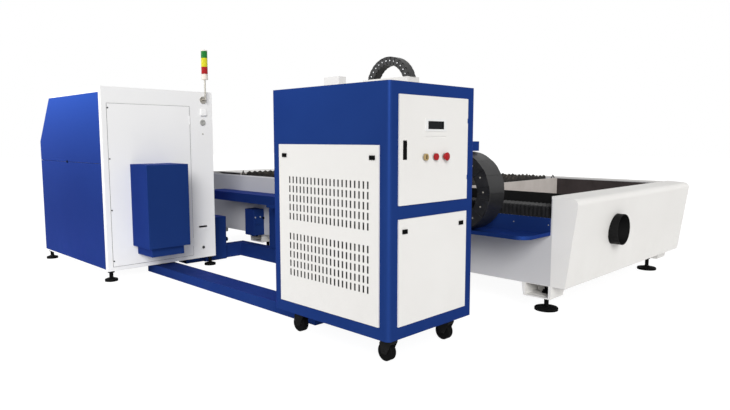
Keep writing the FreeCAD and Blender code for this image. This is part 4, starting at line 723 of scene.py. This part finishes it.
def screws(name, places, axis, radius, height, finish, slot, body, sides=20):
    # pan heads with a round recess: flat foot, shoulder, then down into the recess
    mould = Mould()
    profile = [(-sunk, radius), (height * 0.55, radius), (height, radius * 0.78), (height, radius * 0.42),
               (height * 0.35, radius * 0.36)]
    for place in places:
        mould.turned(place, axis, profile, sides)
    return mould.make(name, finish, slot, body)


doorTrim = {"seal": 0.0025, "sealDepth": 0.0032, "gap": 0.0003, "farInset": 0.004, "lockInset": 0.007,
            "lockRadius": 0.0065, "lockHigh": 0.005, "lockHeights": (0.050, 0.503, 0.955, 1.397)}


def rearDoorTrim(p):
    # grey seal round the leaf's edge, which also stands for the shade in the gap round the door, and four
    # quarter-turn locks down its near side
    low, high = span("rear_door")
    face = span("door_cooler")[0][0]  # the cooler sits on the leaf's outer face
    x1, x2 = face - p["sealDepth"], face - p["gap"]
    y1, y2 = low[1], high[1] - p["farInset"]
    z1, z2 = low[2], high[2]
    wide = p["seal"]
    strips = (
        (y1 - wide, y1, z1 - wide, z2 + wide),
        (y2, y2 + wide, z1 - wide, z2 + wide),
        (y1, y2, z1 - wide, z1),
        (y1, y2, z2, z2 + wide),
    )
    # the seal's grey line is partly painted shade of the gap round the door
    seal = Mould()
    for near, far, bottom, top in strips:
        seal.box((x1, near, bottom), (x2, far, top))
    seal.make("rear_door_seal_shade_line", sealRubber, "black_rubber", "rear_door")
    places = [(face, y1 + p["lockInset"], z1 + rise) for rise in p["lockHeights"]]
    screws("rear_door_locks", places, plusX, p["lockRadius"], p["lockHigh"], trimPlastic, "black_plastic",
           "rear_door")


rearDoorTrim(doorTrim)

consoleBack = span("signal_tower")[0][0]  # the tower's round foot stands on the console's back
hoodTrim = {"z": (1.482, 1.548), "y": (-1.083, -1.021), "reach": 0.018, "bevel": 0.003}


def cableHood(p):
    # seen from the side a quarter ellipse: for t from 0 to a quarter turn it stands reach * sin t off
    # the console's back, at the height low + (high - low) * cos t
    low, high = p["z"]
    t = np.linspace(0.0, math.pi / 2, arcPoints)[:, None]
    x = np.vstack([consoleBack + p["reach"] * np.sin(t), [[consoleBack]]])
    z = np.vstack([low + (high - low) * np.cos(t), [[low]]])
    hood = Mould()
    sides = [np.hstack([x, np.full_like(x, y), z]) for y in p["y"]]
    hood.grid(np.stack(sides), closed=True, caps=True)
    hood.make("cable_hood", white, "white_paint", "machine", p["bevel"])


cableHood(hoodTrim)

fittings = {"discY": -1.060, "discZ": 1.416, "discRadius": 0.029, "discHigh": 0.010, "discHole": 0.001,
            "dotZ": 1.306, "dotRadius": 0.0075, "dotHigh": 0.003, "lock": (-1.810, 1.042),
            "lockRadius": 0.014, "lockHigh": 0.004, "knob": (-1.186, -0.700, 0.203), "knobRadius": 0.022,
            "knobNeck": 0.008, "knobFoot": 0.010, "knobEdge": 0.024, "knobHigh": 0.027}


def consoleFittings(p):
    # a grommet under the cable hood, a small screw, the side panels' lock and the stand box's knob
    r, high = p["discRadius"], p["discHigh"]
    ring = Mould()
    ring.turned((consoleBack, p["discY"], p["discZ"]), plusX,
                [(-sunk, r), (high * 0.6, r), (high, r * 0.88), (high, r * 0.6), (high * 0.6, r * 0.52),
                 (high * 0.4, p["discHole"])], sides=36)
    ring.make("cable_grommet", greyPlastic, "galvanised", "machine")
    dot = (consoleBack, p["discY"], p["dotZ"])
    screws("fitting_screw", [dot], plusX, p["dotRadius"], p["dotHigh"], pinSteel, "galvanised", "machine")
    lock = (p["lock"][0], span("console_side_panels")[0][1], p["lock"][1])
    screws("side_panel_lock", [lock], minusY, p["lockRadius"], p["lockHigh"], trimPlastic, "black_plastic",
           "machine", sides=28)
    r, neck = p["knobRadius"], p["knobNeck"]
    knob = Mould()
    knob.turned(p["knob"], plusY,
                [(-sunk, r * 0.6), (neck, r * 0.6), (p["knobFoot"], r), (p["knobEdge"], r),
                 (p["knobHigh"], r * 0.85)], sides=28)
    knob.make("stand_box_knob", trimPlastic, "black_plastic", "machine")


consoleFittings(fittings)

trayTrim = {"height": 0.655, "first": 2.289, "step": 0.276, "count": 10, "flange": 0.003, "radius": 0.0042,
            "high": 0.0025}


def trayScrews(p):
    # the row of screws that holds the tray's flange to the bed
    face = span("cable_tray")[1][1] - p["flange"]
    places = [(p["first"] - k * p["step"], face, p["height"]) for k in range(p["count"])]
    screws("tray_screws", places, minusY, p["radius"], p["high"], greyPlastic, "galvanised", "machine",
           sides=14)


trayScrews(trayTrim)

footTrim = {"bedXs": (-2.220, -1.230, 0.505, 2.2095), "bedInset": 0.156, "bedRadius": 0.086,
            "consoleInset": 0.042, "consoleRadius": 0.055, "lift": 0.0005, "chamfer": 0.001, "rim": 0.020,
            "top": 0.027, "collar": 0.006, "seat": 0.1285, "flange": 0.036, "flangeHigh": 0.004, "nut": 0.032,
            "nutHigh": 0.016, "nutChamfer": 0.002}


def footTrims(p):
    # moulded rim round each levelling disc, and the flanged lock nut inside each bracket of the bed
    bedLow, bedHigh = span("bed_frame")
    bedYs = (bedLow[1] + p["bedInset"], bedHigh[1] - p["bedInset"])
    bedFeet = [(x, y) for x in p["bedXs"] for y in bedYs]
    low, high = span("console_cabinet")
    inset = p["consoleInset"]
    consoleYs = (low[1] + inset, high[1] - inset)
    consoleFeet = [(x, y) for x in (low[0] + inset, consoleBack - inset) for y in consoleYs]
    rim, top = p["rim"], p["top"]
    flange, flangeHigh = p["flange"], p["flangeHigh"]
    nut, nutHigh = p["nut"], p["nutHigh"]
    pads, nuts = Mould(), Mould()
    for places, radius in ((bedFeet, p["bedRadius"]), (consoleFeet, p["consoleRadius"])):
        for place in places:
            pads.turned((*place, 0.0), plusZ,
                        [(p["lift"], radius - p["chamfer"]), (rim * 0.2, radius), (rim * 0.8, radius),
                         (rim, radius * 0.96), (top, radius * 0.55), (top + p["collar"], radius * 0.34)],
                        sides=40)
    for place in bedFeet:
        nuts.turned((*place, p["seat"]), plusZ,
                    [(0.0, flange), (flangeHigh, flange), (flangeHigh + p["chamfer"], nut)])
        nuts.turned((*place, p["seat"] + flangeHigh), plusZ,
                    [(0.0, nut), (nutHigh, nut), (nutHigh + p["nutChamfer"], nut * 0.85)],
                    sides=6)
    pads.make("foot_pads", softRubber, "black_rubber", "machine")
    nuts.make("foot_nuts", softRubber, "black_rubber", "machine")


footTrims(footTrim)

boxTrim = {"lid": 0.008, "lockY": (0.019, 0.084), "lockZ": 0.198, "lockRadius": 0.009, "lockHigh": 0.006,
           "hingeY": 0.124, "hingeZ": 0.184, "hingeRadius": 0.012, "hingeHigh": 0.012,
           "glands": (0.3, 0.7), "glandRadius": 0.014, "glandReach": 0.022}


def junctionFittings(p):
    # two bright lock screws and a hinge boss on the right face, and two cable glands under the box
    low, high = span("junction_box")
    edge = high[0] - p["lid"]
    places = [(edge, low[1] + y, low[2] + p["lockZ"]) for y in p["lockY"]]
    screws("junction_locks", places, plusX, p["lockRadius"], p["lockHigh"], screwSteel, "galvanised",
           "machine")
    boss = (edge, low[1] + p["hingeY"], low[2] + p["hingeZ"])
    screws("junction_hinge", [boss], plusX, p["hingeRadius"], p["hingeHigh"], trimPlastic, "black_plastic",
           "machine")
    glands = Mould()
    r, reach = p["glandRadius"], p["glandReach"]
    profile = [(-sunk, r), (reach * 0.4, r), (reach * 0.45, r * 0.85), (reach, r * 0.7)]
    for share in p["glands"]:
        place = (low[0] + (edge - low[0]) * share, (low[1] + high[1]) / 2, low[2])
        glands.turned(place, minusZ, profile, sides=12)
    glands.make("junction_glands", trimPlastic, "black_plastic", "machine")


junctionFittings(boxTrim)

ventShadeCloth = {"rim": 0.035, "back": 0.0004, "thick": 0.0004}


def ventShadeSheet(p):
    # a dark cloth sheet stretched at the back of the slots of the vented panel, put there as painted shade
    # that darkens the slots
    low, high = span("vented_panel")
    rim = p["rim"]
    y = high[1] - p["back"]
    sheet = Mould()
    sheet.box((low[0] + rim, y - p["thick"], low[2] + rim), (high[0] - rim, y, high[2] - rim))
    sheet.make("vent_shade_sheet", cloth, "black_fabric", "machine")


ventShadeSheet(ventShadeCloth)

controls = {"ring": 1.08, "ringHigh": 0.004, "ringSunk": 0.0005, "stem": 0.78, "slotHalf": (0.0035, 0.011),
            "slotProud": 0.0012, "slotBevel": 0.0004, "dome": 0.006}


def dial(name):
    # the middle of a round control's front face, and its radius
    low, high = span(name)
    middle = (low + high) / 2
    return (high[0], middle[1], middle[2]), (high[2] - low[2]) / 2


def doorControls(p):
    # grey rings round the three controls, the slot in the key switch and the mushroom button's dome
    face = span("lower_cover")[1][0]  # the door's face lies in the same plane
    high = p["ringHigh"]
    rings = Mould()
    for name, share in (("key_switch", 1.0), ("push_button", 1.0), ("mushroom_button", p["stem"])):
        place, radius = dial(name)
        stem = radius * share
        r = stem * p["ring"]
        rings.turned((face, *place[1:]), plusX,
                     [(-p["ringSunk"], r), (high * 0.6, r), (high, r * 0.93), (high, stem * 0.6)],
                     sides=36)
    rings.make("control_rings", greyPlastic, "galvanised", "upper_door")
    front, y, z = dial("key_switch")[0]
    wide, tall = p["slotHalf"]
    slot = Mould()
    slot.box((front - sunk, y - wide, z - tall), (front + p["slotProud"], y + wide, z + tall))
    slot.make("key_slot", trimPlastic, "black_plastic", "key_switch", p["slotBevel"])
    # for t from 0 to almost a quarter turn the dome stands height * sin t out, at the radius * cos t
    place, radius = dial("mushroom_button")
    t = np.linspace(0.0, math.pi / 2, arcPoints)[:-1]
    profile = np.stack([p["dome"] * np.sin(t), radius * np.cos(t)], -1).tolist()
    dome = Mould()
    dome.turned(place, plusX, [(-sunk, radius * 0.98)] + profile, sides=40)
    dome.make("mushroom_dome", redPlastic, "red_plastic", "mushroom_button")


doorControls(controls)

keys = {"lip": 0.008, "front": 0.060, "back": 0.210, "side": 0.050, "top": 0.022, "margin": 0.012, "rows": 5,
        "columns": 17, "bar": (6, 11), "gap": 0.0022, "high": 0.005, "slope": 0.004, "sunk": 0.002,
        "bevel": 0.0012}


def keyboardKeys(p):
    # a field of keys lying on the keyboard, every row a little higher than the one before it, with a
    # long bar in the first row; the keyboard is placed from the drawer's corner inside its front lip
    low, high = span("keyboard_drawer")
    lip, gap = p["lip"], p["gap"]
    x1, x2 = low[0] + lip + p["front"] + p["margin"], low[0] + lip + p["back"] - p["margin"]
    y1, y2 = low[1] + lip + p["side"] + p["margin"], high[1] - lip - p["side"] - p["margin"]
    base = low[2] + lip + p["top"]
    deep, wide = (x2 - x1) / p["rows"], (y2 - y1) / p["columns"]
    field = Mould()

    def key(row, first, last, top):
        field.box((x1 + deep * row + gap, y1 + wide * first + gap, base - p["sunk"]),
                  (x1 + deep * (row + 1) - gap, y1 + wide * last - gap, top))

    for row in range(p["rows"]):
        top = base + p["high"] + p["slope"] * row / p["rows"]
        for column in range(p["columns"]):
            if row > 0 or column not in range(*p["bar"]):
                key(row, column, column + 1, top)
    key(0, *p["bar"], base + p["high"])
    field.make("keyboard_keys", keyPlastic, "black_plastic", "keyboard_drawer", p["bevel"])


keyboardKeys(keys)

glass = {"deskRise": 0.476, "deskRun": 0.356, "tall": 0.330, "inset": 0.026, "lift": 0.0045, "thick": 0.002,
         "bevel": 0.0006}


def screenGlass(p):
    # the pane lies in the monitor's recess, parallel to the sloping desk, lifted off the monitor's middle:
    # base + a * up + y * across + r * out
    low, high = span("monitor")
    wide = (high[1] - low[1]) / 2 - p["inset"]
    tall = p["tall"] / 2
    slant = math.atan2(p["deskRise"], p["deskRun"])
    up = np.array([math.cos(slant), 0.0, math.sin(slant)])
    across = np.array(plusY)
    out = np.array([-math.sin(slant), 0.0, math.cos(slant)])
    base = (low + high) / 2 + out * p["lift"]

    def lay(a, y, r):
        return tuple(base[k] + a * up[k] + y * across[k] + r * out[k] for k in range(3))

    pane = Mould()
    pane.box((-tall, -wide, 0.0), (tall, wide, p["thick"]), lay)
    pane.make("monitor_glass", darkGlass, "screen", "machine", p["bevel"])


screenGlass(glass)

bolts = {"radius": 0.011, "high": 0.009, "washer": 1.35, "washerHigh": 0.0018, "lap": 0.0003, "count": 5,
         "inset": 0.05, "height": 0.765, "screwCount": 12, "screwInset": 0.10, "screwBack": 0.022,
         "screwHeight": 1.590, "screwRadius": 0.007, "screwHigh": 0.004}


def hexBolts(name, places, axis, p):
    # hexagon heads on round washers
    r, high = p["radius"], p["high"]
    washer, washerHigh = r * p["washer"], p["washerHigh"]
    mould = Mould()
    for place in places:
        mould.turned(place, axis, [(-sunk, washer), (washerHigh, washer)])
        mould.turned(place, axis, [(washerHigh - p["lap"], r), (high * 0.9, r), (high, r * 0.9)], sides=6)
    mould.make(name, screwSteel, "galvanised", "gantry")


def gantryBolts(p):
    # bolts through the foot of each column into its truck, and a row of screws along the beam's face
    low, high = span("gantry_columns")
    beamLow, beamHigh = span("gantry_beam")
    xs = np.linspace(low[0] + p["inset"], high[0] - p["inset"], p["count"])
    hexBolts("truck_bolts_near", [(x, low[1], p["height"]) for x in xs], minusY, p)
    hexBolts("truck_bolts_far", [(x, high[1], p["height"]) for x in xs], plusY, p)
    ys = np.linspace(beamLow[1] + p["screwInset"], beamHigh[1] - p["screwInset"], p["screwCount"])
    places = [(beamHigh[0] - p["screwBack"], y, p["screwHeight"]) for y in ys]
    screws("beam_cover_screws", places, plusX, p["screwRadius"], p["screwHigh"], screwSteel, "galvanised",
           "gantry", sides=14)


gantryBolts(bolts)

headTrim = {"rings": ((1.300, 0.047, 0.030), (1.150, 0.036, 0.012)), "ridges": 24, "ridge": 0.0012,
            "points": 72, "ports": ((0.0156, 1.345), (-0.0156, 1.345), (0.0, 1.365)), "portX": 0.034,
            "portSunk": 0.004, "neck": 0.007, "neckHigh": 0.012, "nut": 0.0085, "nutLow": 0.013,
            "nutHigh": 0.022, "tip": 0.006, "tipHigh": 0.024}


def headRings(p):
    # knurled focus ring and clamp ring of the cutting head, given as height, radius and width: at the
    # angle t the radius is radius + ridge * cos(ridges * t), a tenth less at both rims
    low, high = span("nozzle")
    middle = (low + high) / 2
    t = np.arange(p["points"]) * 2 * math.pi / p["points"]
    rings = Mould()
    for z, radius, wide in p["rings"]:
        knurl = radius + p["ridge"] * np.cos(p["ridges"] * t)
        rows = []
        for rise, share in ((0.0, 0.9), (0.1, 1.0), (0.9, 1.0), (1.0, 0.9)):
            x = middle[0] + knurl * share * np.cos(t)
            y = middle[1] + knurl * share * np.sin(t)
            rows.append(np.stack([x, y, z + wide * rise + 0 * t], -1))
        rings.grid(np.stack(rows), closed=True, caps=True)
    rings.make("head_rings", trimPlastic, "black_plastic", "head")


def headPorts(p):
    # hose fittings on the side of the cutting head: a neck, a hexagon nut and its tip
    low, high = span("nozzle")
    middle = (low + high) / 2
    neck, nut = p["neck"], p["nut"]
    profile = [(-p["portSunk"], neck), (p["neckHigh"], neck), (p["nutLow"], nut),
               (p["nutHigh"], nut), (p["tipHigh"], p["tip"])]
    ports = Mould()
    for y, z in p["ports"]:
        ports.turned((middle[0] + p["portX"], middle[1] + y, z), plusX, profile, sides=6)
    ports.make("head_ports", screwSteel, "galvanised", "head")


headRings(headTrim)
headPorts(headTrim)
print("small fittings made")

stage = {
    "reach": 40.0, "colour": (0.90, 0.90, 0.90), "rough": 0.9, "whiteShare": 0.84, "glow": 1.12,
    "fadeFrom": 3.2, "fadeTo": 7.5, "sky": 0.38,
}


def makeStage(p):
    # a pale floor: most of what the camera sees of it is plain white light, and far out all of it
    mesh = bpy.data.meshes.new("floor")
    r = p["reach"]
    mesh.from_pydata([(-r, -r, 0), (r, -r, 0), (r, r, 0), (-r, r, 0)], [], [(0, 1, 2, 3)])
    floor = bpy.data.objects.new("floor", mesh)
    bpy.context.scene.collection.objects.link(floor)
    f = Finish("floor")
    f.set(Base_Color=p["colour"], Roughness=p["rough"])
    distance = f.net.node("ShaderNodeVectorMath", {"operation": "LENGTH"}, {0: f.place}, "Value")
    share = p["whiteShare"] + distance.between(p["fadeFrom"], p["fadeTo"]) * (1.0 - p["whiteShare"])
    seen = f.net.node("ShaderNodeLightPath", None, None, "Is Camera Ray") * share
    glow = f.net.node("ShaderNodeEmission", None, {"Color": (1, 1, 1, 1), "Strength": p["glow"]})
    mixed = f.net.node("ShaderNodeMixShader", None, {0: seen, 1: Wire(f.tree, f.surface.outputs[0]), 2: glow})
    f.tree.links.new(mixed.socket, f.tree.nodes["Material Output"].inputs[0])
    mesh.materials.append(f.material)


def makeSky(p):
    # white to the camera and in mirrors and glass, dimmer as a light on rough surfaces
    world = bpy.data.worlds.new("sky")
    world.use_nodes = True
    bpy.context.scene.world = world
    net = Wire(world.node_tree)
    path = net.node("ShaderNodeLightPath").socket.node
    seen, mirrored, through = [Wire(net.tree, path.outputs[f"Is {kind} Ray"])
                               for kind in ("Camera", "Glossy", "Transmission")]
    plain = net.math("MAXIMUM", net.math("MAXIMUM", seen, mirrored), through)
    sky = world.node_tree.nodes["Background"]
    net.tree.links.new((plain * (1.0 - p["sky"]) + p["sky"]).socket, sky.inputs["Strength"])
    sky.inputs["Color"].default_value = (1, 1, 1, 1)


lamps = {
    "sun": {"kind": "SUN", "place": (6.6, -6.0, 4.0), "aim": (0.0, 0.0, 0.0), "size": math.radians(30),
            "power": 2.6},
    "fill": {"kind": "AREA", "place": (-2.8, -3.6, 3.1), "aim": (-1.9, -2.0, 1.7), "size": 1.4,
             "power": 60.0},
}


def makeLamp(name, p):
    # size is the angle across the sun, and the side of the square lamp
    data = bpy.data.lights.new(name, p["kind"])
    data.energy = p["power"]
    if p["kind"] == "SUN":
        data.angle = p["size"]
    else:
        data.size = p["size"]
        data.shape = "SQUARE"
    lamp = bpy.data.objects.new(name, data)
    lamp.location = p["place"]
    gaze = np.array(p["aim"]) - np.array(p["place"])
    pan = math.atan2(gaze[1], gaze[0]) - math.pi / 2
    tilt = math.pi / 2 + math.atan2(gaze[2], math.hypot(gaze[0], gaze[1]))
    lamp.rotation_euler = (tilt, 0.0, pan)
    bpy.context.scene.collection.objects.link(lamp)


makeStage(stage)
makeSky(stage)
for lampName, settings in lamps.items():
    makeLamp(lampName, settings)
bpy.context.scene.view_settings.view_transform = "Standard"
print("stage ready")
